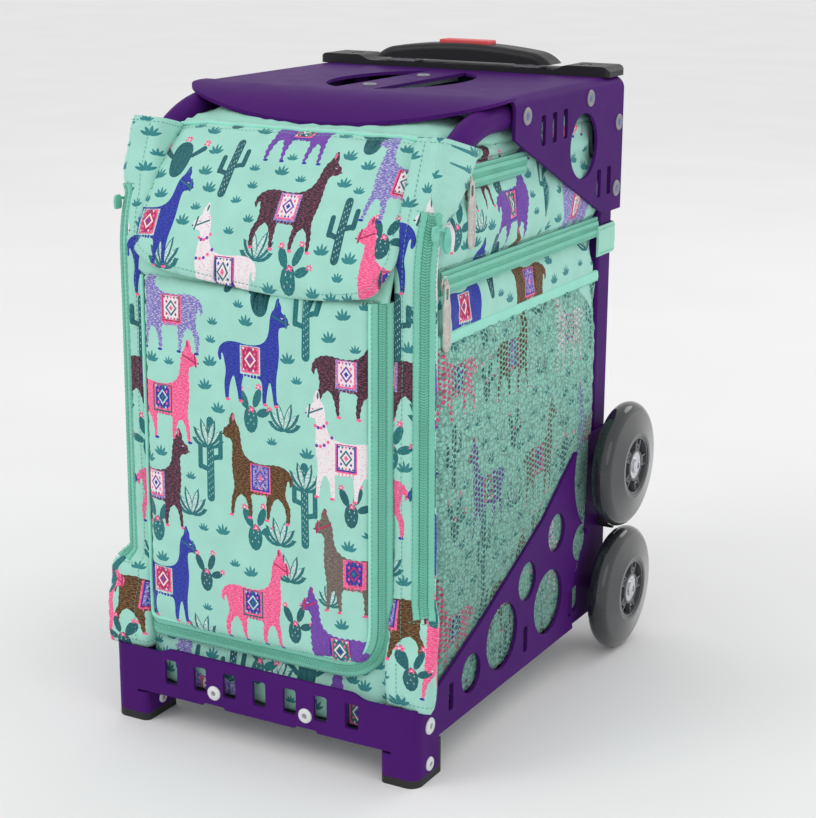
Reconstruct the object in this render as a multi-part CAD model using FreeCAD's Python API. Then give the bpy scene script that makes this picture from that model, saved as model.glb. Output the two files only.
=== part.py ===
"""Wheeled skate bag: a sheet-metal seat frame on four skate wheels, with a zipped fabric insert.

Millimetres, +Z up. While the parts are built, X = 0 is the middle, Y = 0 is the front face of the
base bar and Z = 0 is the floor. Every part is then moved back by ORIGIN_Y, so that the origin lies
on the floor under the middle of the bounding box. The bag faces -Y, and its wheels are at +Y.
"""

import FreeCAD
import Part

import math
import os

from FreeCAD import Vector

# ---- driving dimensions -------------------------------------------------------------------------
WIDTH = 262.0             # outside width of the sheet-metal frame
DEPTH = 333.0             # front face of the bar to the back of the rear posts
SEAT_TOP = 470.0          # height of the seat
SHEET = 2.5               # frame sheet thickness
BEND = 9.0                # outside bend radius of the frame sheet
FOOT = 30.0               # width of a front foot
FOOT_DEPTH = 33.0
FOOT_RUBBER = 6.0         # rubber under the sheet of a foot
WHEEL_R = 51.4
WHEEL_MID = 148.1         # |x| of a wheel's middle plane
AXLE_Y = 318.3
AXLE_Z = (WHEEL_R, 158.1)
TUBE_R = 9.5              # front tubes
TUBE_X, TUBE_Y, TUBE_Z = 117.5, 28.0, 455.0
TUBE_BEND = 98.0
POST = 25.0               # square rear posts
POST_OUT = 124.3          # |x| of a post's outer face
HANDLE_X, HANDLE_Y = 56.0, 318.2
BAG_X = 122.0             # |x| of the fabric sides
BAG_TOP = 444.0
BAG_BACK = 305.5
CLOTH = 4.0               # wall of the padded fabric insert
GAP = 0.3                 # clearance between bodies that move on each other

HALF = WIDTH / 2
INSIDE = HALF - SHEET     # |x| of the inner face of the side plates
SEAT_UNDER = SEAT_TOP - SHEET
POST_IN = POST_OUT - POST
POST_FRONT = DEPTH - POST
AXLE_END = WHEEL_MID + 13.0
SCREW_HEAD = 2.0
ORIGIN_Y = (AXLE_Y + WHEEL_R - SCREW_HEAD) / 2


# ---- small geometry helpers ---------------------------------------------------------------------
def box(x, y, z):
    """A block between the low and high value of each axis."""
    return Part.makeBox(x[1] - x[0], y[1] - y[0], z[1] - z[0], Vector(x[0], y[0], z[0]))


def rod(axis, low, high, a, b, radius):
    """A cylinder along an axis; a and b are its other two coordinates, in X, Y, Z order."""
    start, direction = {
        "x": (Vector(low, a, b), Vector(1, 0, 0)),
        "y": (Vector(a, low, b), Vector(0, 1, 0)),
        "z": (Vector(a, b, low), Vector(0, 0, 1)),
    }[axis]
    return Part.makeCylinder(radius, high - low, start, direction)


def outline(points, place):
    """A closed face. A point is (a, b), or (a, b, "via") for a point that an arc passes through."""
    edges = []
    loop = list(points) + [points[0]]
    start = loop[0]
    via = None
    for point in loop[1:]:
        if len(point) == 3:
            via = point
            continue
        first, last = place(*start), place(*point)
        if via is None:
            edges.append(Part.makeLine(first, last))
        else:
            edges.append(Part.Arc(first, place(via[0], via[1]), last).toShape())
        start, via = point, None
    return Part.Face(Part.Wire(edges))


def along_x(points, x):
    """Extrude a (y, z) outline between two x values."""
    return outline(points, lambda a, b: Vector(x[0], a, b)).extrude(Vector(x[1] - x[0], 0, 0))


def along_y(points, y):
    """Extrude an (x, z) outline between two y values."""
    return outline(points, lambda a, b: Vector(a, y[0], b)).extrude(Vector(0, y[1] - y[0], 0))


def along_z(points, z):
    """Extrude an (x, y) outline between two z values."""
    return outline(points, lambda a, b: Vector(a, b, z[0])).extrude(Vector(0, 0, z[1] - z[0]))


def rounded(a, b, radius):
    """Outline of a rectangle with rounded corners."""
    k = radius * (1 - math.sqrt(0.5))
    return [
        (a[0] + radius, b[0]), (a[1] - radius, b[0]), (a[1] - k, b[0] + k, "via"),
        (a[1], b[0] + radius), (a[1], b[1] - radius), (a[1] - k, b[1] - k, "via"),
        (a[1] - radius, b[1]), (a[0] + radius, b[1]), (a[0] + k, b[1] - k, "via"),
        (a[0], b[1] - radius), (a[0], b[0] + radius), (a[0] + k, b[0] + k, "via"),
    ]


def channel(half, low, high, radius):
    """Outline of a deep U, open at its high side, with rounded bottom corners."""
    k = radius * (1 - math.sqrt(0.5))
    return [
        (-half, high), (-half, low + radius), (-half + k, low + k, "via"),
        (-half + radius, low), (half - radius, low), (half - k, low + k, "via"),
        (half, low + radius), (half, high),
    ]


def slot(axis, span, a, b, width, length, radius):
    """A cutter for an upright rounded slot."""
    points = rounded((a - width / 2, a + width / 2), (b - length / 2, b + length / 2), radius)
    return along_x(points, span) if axis == "x" else along_y(points, span)


def mirrored(shape):
    return shape.mirror(Vector(0, 0, 0), Vector(1, 0, 0))


def pair(*shapes):
    """Each right-hand shape followed by its left-hand mirror image."""
    return [side for shape in shapes for side in (shape, mirrored(shape))]


def joined(*shapes):
    return shapes[0].fuse(list(shapes[1:])).removeSplitter()


def cut(shape, tools):
    return shape.cut(tools)


def tube_ring(x, y, z, wall):
    """A rectangular tube standing along Z."""
    inner = box((x[0] + wall, x[1] - wall), (y[0] + wall, y[1] - wall), (z[0] - 1, z[1] + 1))
    return box(x, y, z).cut(inner)


# ---- base: one bent sheet with two front feet ---------------------------------------------------
BAR_TOP, BAR_TOP_MIDDLE, BAR_BOTTOM = 59.0, 63.0, 25.0
SIDE_BOTTOM = 29.5
SIDE_BACK = 331.0
SIDE_TOP = 185.0
FOOT_IN = HALF - FOOT
FOOT_SLIT = 23.0
BAR_SLOT_PITCH, BAR_SLOT_Z, BAR_SLOT = 26.1, 44.7, (11.0, 19.6)
BAR_SCREW_X, BAR_SCREW_Z = 39.6, 36.8
FOOT_SCREW_Y, FOOT_SCREW_Z = 19.1, (42.2, 13.1)
SIDE_HOLES = [(82.4, 58.3, 15.0), (133.0, 69.2, 26.0), (175.5, 99.0, 15.5), (214.8, 69.1, 26.0),
              (227.6, 122.8, 15.5), (275.0, 100.3, 15.2), (276.6, 147.7, 15.2)]
SIDE_SLOTS = [(51.3, 52.1), (174.0, 52.1), (257.0, 51.8), (274.0, 51.2)]
ARCH_R, ARCH_DEPTH = 61.0, 4.0
SHANK_R = 2.5
AXLE_R = 4.0


def side_outline():
    """The side of the base, as (y, z), from the bent corner to the rear edge."""
    return [(BEND, FOOT_RUBBER), (FOOT_DEPTH, FOOT_RUBBER), (FOOT_DEPTH, SIDE_BOTTOM),
            (SIDE_BACK, SIDE_BOTTOM), (SIDE_BACK, SIDE_TOP), (292, SIDE_TOP),
            (270, 181.5, "via"), (248, 171), (203, 141), (101, 94), (30, 66), (BEND, BAR_TOP)]


def front_outline():
    """The front of the base, as (x, z)."""
    half = [(76, BAR_TOP_MIDDLE), (80.4, BAR_TOP_MIDDLE - 0.5, "via"), (84, 61),
            (87.6, BAR_TOP + 0.5, "via"), (92, BAR_TOP), (HALF + 1, BAR_TOP),
            (HALF + 1, FOOT_RUBBER), (FOOT_IN + 5, FOOT_RUBBER), (FOOT_IN + 5, FOOT_SLIT),
            (FOOT_IN + 9, FOOT_SLIT), (FOOT_IN + 9, BAR_BOTTOM), (50, BAR_BOTTOM),
            (48, BAR_BOTTOM + 2), (32, BAR_BOTTOM + 2), (30, BAR_BOTTOM)]
    other = [(-point[0],) + tuple(point[1:]) for point in reversed(half)]
    return half + other


def wheel_arch():
    """Both pressed arches of the right side: the recessed discs with their step walls."""
    outer = joined(*[rod("x", 0, HALF, AXLE_Y, z, ARCH_R) for z in AXLE_Z])
    inner = joined(*[rod("x", 0, HALF + 1, AXLE_Y, z, ARCH_R - SHEET) for z in AXLE_Z])
    disc_x = (INSIDE - ARCH_DEPTH, HALF - ARCH_DEPTH)
    disc = outer.common(box(disc_x, (200, SIDE_BACK), (SIDE_BOTTOM, 240)))
    wall = outer.cut(inner).common(box((disc_x[0], HALF), (200, SIDE_BACK), (SIDE_BOTTOM, 240)))
    return outer, joined(disc, wall)


def foot_flange():
    """The inner cheek of the right foot, bent back from the front sheet."""
    bend = 5.0
    z = (FOOT_RUBBER, FOOT_SLIT)
    outer = along_z(rounded((FOOT_IN, HALF + 20), (0, FOOT_DEPTH + 20), bend), z)
    inner = along_z(rounded((FOOT_IN + SHEET, HALF + 20), (SHEET, FOOT_DEPTH + 20), bend - SHEET), z)
    return outer.cut(inner).common(box((FOOT_IN, FOOT_IN + bend), (0, FOOT_DEPTH), z))


def base_shell():
    z = (FOOT_RUBBER, SIDE_TOP + 1)
    wall = along_z(channel(HALF, 0, SIDE_BACK, BEND), z).cut(
        along_z(channel(INSIDE, SHEET, SIDE_BACK + 1, BEND - SHEET), z))
    front = wall.common(box((-HALF, HALF), (0, BEND), z)).common(
        along_y(front_outline(), (-1, BEND)))
    sides = wall.common(box((-HALF, HALF), (BEND, SIDE_BACK), z)).common(
        along_x(side_outline(), (-HALF, HALF)))
    recess, arch = wheel_arch()
    arch = arch.common(along_x(side_outline(), (0, HALF)))
    opening = recess.common(box((INSIDE - 1, HALF + 1), (200, SIDE_BACK), z))
    sides = cut(sides, pair(opening))
    shell = joined(front, sides, *pair(arch, foot_flange()))
    tools = [slot("y", (-1, SHEET + 1), n * BAR_SLOT_PITCH, BAR_SLOT_Z, *BAR_SLOT, 2.0)
             for n in range(-3, 4)]
    right = [rod("x", INSIDE - 6, HALF + 1, y, hole_z, r) for y, hole_z, r in SIDE_HOLES]
    right += [slot("x", (INSIDE - 6, HALF + 1), y, slot_z, 7.0, 21.0, 2.0) for y, slot_z in SIDE_SLOTS]
    right += [rod("x", INSIDE - 6, HALF + 1, AXLE_Y, axle_z, AXLE_R) for axle_z in AXLE_Z]
    right += [rod("x", INSIDE - 1, HALF + 1, FOOT_SCREW_Y, screw_z, SHANK_R) for screw_z in FOOT_SCREW_Z]
    right += [rod("x", FOOT_IN - 1, FOOT_IN + 4, FOOT_SCREW_Y, FOOT_SCREW_Z[1], SHANK_R)]
    right += [rod("y", -1, SHEET + 1, BAR_SCREW_X, BAR_SCREW_Z, SHANK_R)]
    return cut(shell, tools + pair(*right))


TRAY_Z = (30.0, 32.0)


def floor_tray():
    """The floor under the insert, with tabs for the bar screws and an upturned rear edge."""
    back = POST_FRONT - 0.1
    tray = box((-BAG_X, BAG_X), (SHEET, back), TRAY_Z)
    tray = joined(tray, box((-INSIDE, INSIDE), (60, 250), TRAY_Z),
                  *pair(box((INSIDE - 2, INSIDE), (60, 250), (TRAY_Z[0], 38))),
                  *pair(box((BAR_SCREW_X - 6.5, BAR_SCREW_X + 6.5), (SHEET, SHEET + 2),
                            (TRAY_Z[0], 46))),
                  box((-90, 90), (back - 2, back), (TRAY_Z[0], 60)))
    slots = [along_z(rounded((n * 40 - 8, n * 40 + 8), (60, 250), 7.9), (TRAY_Z[0] - 1, TRAY_Z[1] + 1))
             for n in range(-2, 3)]
    return cut(tray, slots)


BRACKET_TOP = 59.0


def corner_bracket():
    """The right-hand angle bracket that the front tube stands on."""
    flange = box((INSIDE - 2.3, INSIDE), (BEND, 38), (TRAY_Z[1] + 0.5, BRACKET_TOP))
    shelf = box((103.8, INSIDE), (BEND, 40), (BRACKET_TOP - 2, BRACKET_TOP))
    return joined(flange, shelf)


def foot_cap():
    """The right-hand rubber foot: sole, plug in the foot and heel up its open back."""
    sole = along_z([(FOOT_IN, 5), (FOOT_IN + 1.5, 1.5, "via"), (FOOT_IN + 5, 0), (HALF - BEND, 0),
                    (HALF - BEND * (1 - math.sqrt(0.5)), BEND * (1 - math.sqrt(0.5)), "via"),
                    (HALF, BEND), (HALF, 36), (FOOT_IN, 36)], (0, FOOT_RUBBER))
    plug = box((FOOT_IN + SHEET, INSIDE), (BEND, FOOT_DEPTH), (FOOT_RUBBER, 20))
    heel = box((FOOT_IN, HALF), (FOOT_DEPTH, 36), (FOOT_RUBBER, 27))
    return joined(sole, plug, heel)


# ---- uprights and seat --------------------------------------------------------------------------
def front_tube():
    """The right-hand tube: up from the base corner, then back under the seat."""
    turn = Vector(TUBE_X, TUBE_Y + TUBE_BEND, TUBE_Z - TUBE_BEND)
    low = Vector(TUBE_X, TUBE_Y, BRACKET_TOP)
    knee = Vector(TUBE_X, TUBE_Y, turn.z)
    high = Vector(TUBE_X, turn.y, TUBE_Z)
    end = Vector(TUBE_X, POST_FRONT - 3, TUBE_Z)
    middle = turn + Vector(0, -math.sqrt(0.5), math.sqrt(0.5)) * TUBE_BEND
    path = Part.Wire([Part.makeLine(low, knee), Part.Arc(knee, middle, high).toShape(),
                      Part.makeLine(high, end)])
    walls = []
    for radius in (TUBE_R, TUBE_R - 1.6):
        ring = Part.Wire(Part.makeCircle(radius, low, Vector(0, 0, 1)))
        walls.append(path.makePipeShell([ring], True, False))
    return walls[0].cut(walls[1])


def rear_post():
    """The right-hand square post, bored for its two axles."""
    outer = along_z(rounded((POST_IN, POST_OUT), (POST_FRONT, DEPTH), 3.0), (30, SEAT_UNDER - 0.7))
    inner = along_z(rounded((POST_IN + 2, POST_OUT - 2), (POST_FRONT + 2, DEPTH - 2), 1.2),
                    (29, SEAT_UNDER + 1))
    bores = [rod("x", POST_IN - 1, POST_OUT + 1, AXLE_Y, z, AXLE_R) for z in AXLE_Z]
    return cut(outer, [inner] + bores)


SEAT_DROP_Y, SEAT_DROP_R = 132.0, 81.6
SEAT_NOSE_Y, SEAT_WING_Y, GUSSET_Y = 80.0, 125.0, 138.5
GUSSET_LOW = 365.5
SEAT_HOLE_Y, SEAT_HOLE, SEAT_BAR = 211.0, (50.0, 76.0), 31.0
SEAT_RIVET_Y = (161.0, 244.0)
GUSSET_RIVETS = [(156.9, 455.2), (267.8, 457.8), (324.2, 434.3), (322.8, 382.4)]
GUSSET_SLOTS = [(185.3, 442.2), (204.4, 442.6), (223.4, 443.2), (288.9, 390.3), (308.1, 390.6)]
GUSSET_HOLE = (258.5, 422.7, 25.0)


def seat_nose():
    """The front of the seat: flat, then rolled down, with an elliptical front edge."""
    centre_z = SEAT_TOP - SEAT_DROP_R

    def on_arc(y, radius):
        return centre_z + math.sqrt(radius ** 2 - (SEAT_DROP_Y - y) ** 2)

    low_r = SEAT_DROP_R - SHEET
    tip, mid = SEAT_NOSE_Y - 2, (SEAT_NOSE_Y + SEAT_DROP_Y) / 2
    sheet = along_x([(tip, on_arc(tip, low_r)), (mid, on_arc(mid, low_r), "via"),
                     (SEAT_DROP_Y, SEAT_UNDER), (GUSSET_Y, SEAT_UNDER), (GUSSET_Y, SEAT_TOP),
                     (SEAT_DROP_Y, SEAT_TOP), (mid, on_arc(mid, SEAT_DROP_R), "via"),
                     (tip, on_arc(tip, SEAT_DROP_R))], (-HALF, HALF))
    centre = Vector(0, SEAT_WING_Y, SEAT_TOP - 60)
    edge = Part.Ellipse(centre, HALF, SEAT_WING_Y - SEAT_NOSE_Y).toShape()
    front = Part.Face(Part.Wire(edge)).extrude(Vector(0, 0, 80))
    rest = box((-HALF, HALF), (SEAT_WING_Y, GUSSET_Y), (SEAT_TOP - 60, SEAT_TOP + 20))
    return sheet.common(joined(front, rest))


def hand_hole():
    """A cutter for the oval hand hole of the seat."""
    centre = Vector(0, SEAT_HOLE_Y, SEAT_UNDER - 1)
    front = centre + Vector(0, -SEAT_HOLE[1], 0)
    side = centre + Vector(SEAT_HOLE[0], 0, 0)
    oval = Part.Ellipse(front, side, centre).toShape()
    return Part.Face(Part.Wire(oval)).extrude(Vector(0, 0, SHEET + 2))


HANDLE_MID = (19.0, 12.0)


def seat_plate():
    z = (GUSSET_LOW, SEAT_TOP)
    fold = [(a, SEAT_TOP - b, *via) for a, b, *via in channel(HALF, 0, z[1] - z[0], BEND)]
    inner = [(a, SEAT_TOP - b, *via)
             for a, b, *via in channel(INSIDE, SHEET, z[1] - z[0] + 1, BEND - SHEET)]
    wall = along_y(fold, (GUSSET_Y, DEPTH)).cut(along_y(inner, (GUSSET_Y - 1, DEPTH + 1)))
    keep = along_x([(GUSSET_Y, 440), (297, 366), (298, GUSSET_LOW), (DEPTH, GUSSET_LOW),
                    (DEPTH, SEAT_TOP - 9), (DEPTH - 3, SEAT_TOP), (GUSSET_Y, SEAT_TOP)], (-HALF, HALF))
    shell = joined(wall.common(keep), seat_nose())
    bar = box((-SEAT_BAR / 2, SEAT_BAR / 2), (100, 300), (SEAT_UNDER - 2, SEAT_TOP + 2))
    tools = [hand_hole().cut(bar)]
    tools += [rod("z", SEAT_UNDER - 1, SEAT_TOP + 1, 0, y, SHANK_R) for y in SEAT_RIVET_Y]
    right = [rod("x", INSIDE - 1, HALF + 1, y, hole_z, SHANK_R) for y, hole_z in GUSSET_RIVETS]
    right += [slot("x", (INSIDE - 1, HALF + 1), y, slot_z, 7.5, 22.0, 2.0) for y, slot_z in GUSSET_SLOTS]
    right += [rod("x", INSIDE - 1, HALF + 1, *GUSSET_HOLE)]
    right += [handle_prism(HANDLE_MID, 0.6, (SEAT_UNDER - 1, SEAT_TOP + 1))]
    right += [rod("z", SEAT_UNDER - 1, SEAT_TOP + 1, CAP_SCREW_X, CAP_SCREW_Y, SHANK_R)]
    return cut(shell, tools + pair(*right))


# ---- telescoping handle -------------------------------------------------------------------------
HANDLE_OUTER, HANDLE_INNER = (22.0, 15.0), (16.0, 9.0)
HANDLE_WALL = 1.2
CAP_SCREW_X, CAP_SCREW_Y = 104.0, 319.0
CAP_Z, CAP_LUMP_Z = 474.0, 478.0
CAP_Y = (303.0, 336.0)
CAP_HALF = 130.0
COLLAR = (22.0, 15.0)
GRIP_Y = (304.5, 332.0)
GRIP_BOTTOM, GRIP_TOP, GRIP_HALF = 477.0, 490.5, 79.0
BUTTON = (22.0, 7.0)
BUTTON_TOP = 493.0
BAR_Z = (482.2, 484.0)
BUTTON_TRAVEL = 2.5
INNER_TOP = 479.4         # top of the inner handle tubes, in the sockets of the grip


def handle_prism(size, grow, z):
    """An upright block on the axis of the right-hand handle tubes."""
    a, b = size[0] / 2 + grow, size[1] / 2 + grow
    return box((HANDLE_X - a, HANDLE_X + a), (HANDLE_Y - b, HANDLE_Y + b), z)


def handle_tube(size, z):
    a, b = size[0] / 2, size[1] / 2
    return tube_ring((HANDLE_X - a, HANDLE_X + a), (HANDLE_Y - b, HANDLE_Y + b), z, HANDLE_WALL)


def handle_mid_tube():
    collar = handle_prism(COLLAR, 0, (CAP_Z - 3.5, CAP_Z + 2)).cut(
        handle_prism(HANDLE_INNER, GAP, (CAP_Z - 4, CAP_Z + 3)))
    hollow = (HANDLE_MID[0] - 2 * HANDLE_WALL, HANDLE_MID[1] - 2 * HANDLE_WALL)
    tube = handle_tube(HANDLE_MID, (66, CAP_Z - 3.5))
    return joined(tube, collar).cut(handle_prism(hollow, 0, (60, CAP_Z + 3)))


def rear_cap():
    """The moulded cap over the back of the seat, with a raised end over each post."""
    strip = along_z(rounded((-CAP_HALF, CAP_HALF), CAP_Y, 4.0), (SEAT_TOP, CAP_Z))
    lump = along_y([(82, CAP_Z), (86, CAP_Z + 1, "via"), (90, CAP_Z + 3), (94, CAP_LUMP_Z, "via"),
                    (100, CAP_LUMP_Z), (CAP_HALF - 8, CAP_LUMP_Z), (CAP_HALF - 2, CAP_LUMP_Z - 1.5, "via"),
                    (CAP_HALF, CAP_Z)], CAP_Y)
    lump = lump.common(along_z(rounded((0, CAP_HALF), CAP_Y, 4.0), (CAP_Z, CAP_LUMP_Z)))
    skirt = box((-118, 118), (DEPTH, CAP_Y[1]), (444, SEAT_TOP))
    cap = joined(strip, skirt, *pair(lump))
    right = [handle_prism(COLLAR, 0.6, (SEAT_TOP - 1, CAP_Z + 1)),
             rod("z", SEAT_TOP - 1, CAP_LUMP_Z + 1, CAP_SCREW_X, CAP_SCREW_Y, SHANK_R),
             rod("z", CAP_LUMP_Z - 2, CAP_LUMP_Z + 1, CAP_SCREW_X, CAP_SCREW_Y, 5.0)]
    return cut(cap, pair(*right))


def handle_grip():
    """The arched grip, hollow for the release bar and open on top for the button."""
    shoulder = (62.0, 486.0)
    rise = GRIP_TOP - shoulder[1]
    crown_r = (shoulder[0] ** 2 + rise ** 2) / (2 * rise)
    slope = math.asin(shoulder[0] / crown_r)
    run = (GRIP_HALF - shoulder[0], GRIP_BOTTOM - shoulder[1])
    inward = (-math.sin(slope), -math.cos(slope))
    end_r = (run[0] ** 2 + run[1] ** 2) / (2 * (run[0] * inward[0] + run[1] * inward[1]))
    centre = (shoulder[0] + end_r * inward[0], shoulder[1] + end_r * inward[1])
    sag = (shoulder[0] + run[0] / 2 - centre[0], shoulder[1] + run[1] / 2 - centre[1])
    reach = end_r / math.hypot(*sag)
    via = (centre[0] + sag[0] * reach, centre[1] + sag[1] * reach)
    arch = along_y([(-GRIP_HALF, GRIP_BOTTOM), (GRIP_HALF, GRIP_BOTTOM), (*via, "via"), shoulder,
                    (0, GRIP_TOP, "via"), (-shoulder[0], shoulder[1]), (-via[0], via[1], "via")], GRIP_Y)
    edges = [edge for edge in arch.Edges
             if abs(edge.BoundBox.YLength) < 0.01 and edge.BoundBox.ZMax > GRIP_BOTTOM + 1]
    arch = arch.makeFillet(5.0, edges)
    bar_y = (HANDLE_Y - 5, HANDLE_Y + 5)
    hollow = box((-59, 59), bar_y, (BAR_Z[0] - BUTTON_TRAVEL - 0.5, BAR_Z[1] + 0.5))
    well = box((-BUTTON[0] - 0.4, BUTTON[0] + 0.4), (HANDLE_Y - BUTTON[1] - 0.4, HANDLE_Y + BUTTON[1] + 0.4),
               (BAR_Z[0] - BUTTON_TRAVEL - 0.5, GRIP_TOP + 1))
    sockets = pair(handle_prism(HANDLE_INNER, 0, (GRIP_BOTTOM - 1, INNER_TOP)),
                   rod("z", GRIP_BOTTOM - 1, 482, HANDLE_X, HANDLE_Y, 2.6))
    return cut(arch, [hollow, well] + sockets)


def release_button():
    block = box((-BUTTON[0], BUTTON[0]), (HANDLE_Y - BUTTON[1], HANDLE_Y + BUTTON[1]),
                (BAR_Z[1], BUTTON_TOP))
    edges = [edge for edge in block.Edges if edge.BoundBox.ZMin > BUTTON_TOP - 0.01]
    return block.makeFillet(1.2, edges)


def release_rods():
    """The bar under the button and the two push rods inside the handle tubes."""
    bar = box((-58, 58), (HANDLE_Y - 2.5, HANDLE_Y + 2.5), BAR_Z)
    return joined(bar, *pair(rod("z", 78, BAR_Z[0] + 1, HANDLE_X, HANDLE_Y, 2.0)))


# ---- wheels -------------------------------------------------------------------------------------
HUB_R, HUB_HALF, CORE_R, BEARING_R = 24.0, 11.5, 13.5, 11.0
BEARING_FACES = (3.5, 10.5)
SPOKES = 5


def turned(points, z):
    """Revolve an (offset along X, radius) outline about the right-hand axle at height z."""
    face = outline(points, lambda a, r: Vector(WHEEL_MID + a, AXLE_Y, z + r))
    return face.revolve(Vector(WHEEL_MID, AXLE_Y, z), Vector(1, 0, 0), 360)


def tyre(z):
    return turned([(-11.8, HUB_R), (11.8, HUB_R), (12.0, 27.0), (8.6, 44.0), (0, WHEEL_R, "via"),
                   (-8.6, 44.0), (-12.0, 27.0)], z)


def hub(z):
    """A spoked hub: bored core, rim under the tyre and five pairs of spokes."""
    blank = turned([(-HUB_HALF, BEARING_R + 0.05), (-HUB_HALF, CORE_R + 1), (-7, CORE_R + 1.5),
                    (-7, 20.5), (-HUB_HALF, 21.5), (-HUB_HALF, HUB_R), (HUB_HALF, HUB_R),
                    (HUB_HALF, 21.5), (7, 20.5), (7, CORE_R + 1.5), (HUB_HALF, CORE_R + 1),
                    (HUB_HALF, BEARING_R + 0.05)], z)
    centre = Vector(WHEEL_MID, AXLE_Y, z)
    axis = Vector(1, 0, 0)
    window = along_x([(AXLE_Y - 5.2, z + 15.4), (AXLE_Y + 5.2, z + 15.4), (AXLE_Y + 8.6, z + 17.6),
                      (AXLE_Y, z + 20.4, "via"), (AXLE_Y - 8.6, z + 17.6)],
                     (WHEEL_MID - 14, WHEEL_MID + 14))
    pin = rod("x", WHEEL_MID - 14, WHEEL_MID + 14, AXLE_Y, z + 18.0, 1.5)
    tools = []
    for n in range(SPOKES):
        tools.append(window.rotated(centre, axis, n * 360 / SPOKES))
        tools.append(pin.rotated(centre, axis, (n + 0.5) * 360 / SPOKES))
    return cut(blank, tools)


def bearings(z):
    """The two ball bearings of a wheel, clamped on its axle."""
    low, high = BEARING_FACES
    ring = rod("x", WHEEL_MID + low, WHEEL_MID + high, AXLE_Y, z, BEARING_R).cut(
        rod("x", WHEEL_MID + low, WHEEL_MID + high, AXLE_Y, z, AXLE_R))
    return [ring, ring.translated(Vector(-low - high, 0, 0))]


def axle_bolt(z):
    """Shoulder bolt: domed head outside the wheel, shank through the post."""
    head_x = WHEEL_MID + BEARING_FACES[1]
    face = outline([(head_x, 0), (head_x, 6.4), (head_x + 1.3, 6.4), (AXLE_END - 0.2, 4.6, "via"),
                    (AXLE_END, 2.5), (AXLE_END - 1.6, 2.5), (AXLE_END - 1.6, 0)],
                   lambda a, r: Vector(a, AXLE_Y, z + r))
    head = face.revolve(Vector(head_x, AXLE_Y, z), Vector(1, 0, 0), 360)
    return joined(head, rod("x", POST_IN - 6, head_x, AXLE_Y, z, AXLE_R))


def axle_spacers(z):
    """Sleeves from the post to the inner bearing, and between the bearings."""
    spans = [(POST_OUT, INSIDE - ARCH_DEPTH), (HALF - ARCH_DEPTH, WHEEL_MID - BEARING_FACES[1]),
             (WHEEL_MID - BEARING_FACES[0], WHEEL_MID + BEARING_FACES[0])]
    return [rod("x", low, high, AXLE_Y, z, 6.5).cut(rod("x", low - 1, high + 1, AXLE_Y, z, AXLE_R))
            for low, high in spans]


def axle_nut(z):
    x = (POST_IN - 5, POST_IN)
    corners = [(AXLE_Y + 6.5 * math.cos(math.radians(60 * n)), z + 6.5 * math.sin(math.radians(60 * n)))
               for n in range(6)]
    return along_x(corners, x).cut(rod("x", x[0] - 1, x[1] + 1, AXLE_Y, z, AXLE_R))


# ---- fabric insert ------------------------------------------------------------------------------
BAG_SEAM_Y = 76.0         # where the front section is sewn to the rest
CORE_X = 103.5            # |x| of the part of the insert that lies between the front tubes
DOOR_X, DOOR_Z = 99.0, (78.0, 338.0)
DOOR_Y = (4.0, 17.5)
FLAP_HINGE = (68.0, 446.5)
FLAP_THICK = 3.0
FLAP_CURVE = [(3.0, 340.0), (4.5, 355.0), (10.0, 368.0), (20.0, 387.0), (33.0, 407.0), (52.0, 431.0),
              (66.0, 445.0)]
MESH_TOP = 322.0
ZIP_UPPER_Z, ZIP_LOWER_Z = (413.0, 429.0), (346.5, 361.5)
SLEEVE_TOP_TURN = 60.0


def core_profile(inset):
    """Side view of the part between the tubes: floor, front, band behind the flap, top, back."""
    band = [(y + FLAP_THICK + 2.5 + inset, z - inset * 0.6) for y, z in FLAP_CURVE]
    band[0] = (band[0][0], DOOR_Z[1] + 4 + inset)
    band[-1] = (band[-1][0], BAG_TOP - inset)
    return [(14 + inset, 34 + inset), (14 + inset, 62), (18 + inset, 68),
            (18 + inset, DOOR_Z[1] + 2 + inset)] + band + [(BAG_BACK - inset, BAG_TOP - inset),
                                                           (BAG_BACK - inset, 34 + inset)]


def side_profile(inset):
    """Side view of the full-width part, which stays inside the bend of the front tubes."""
    radius = TUBE_BEND - TUBE_R - 3 - inset
    centre = (TUBE_Y + TUBE_BEND, TUBE_Z - TUBE_BEND)
    top = 441.0 - inset
    top_y = centre[0] - math.sqrt(radius ** 2 - (top - centre[1]) ** 2)
    turn = math.radians(40)
    return [(centre[0] - radius, 34 + inset), (centre[0] - radius, centre[1]),
            (centre[0] - radius * math.cos(turn), centre[1] + radius * math.sin(turn), "via"),
            (top_y, top), (BAG_BACK - inset, top), (BAG_BACK - inset, 34 + inset)]


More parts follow.
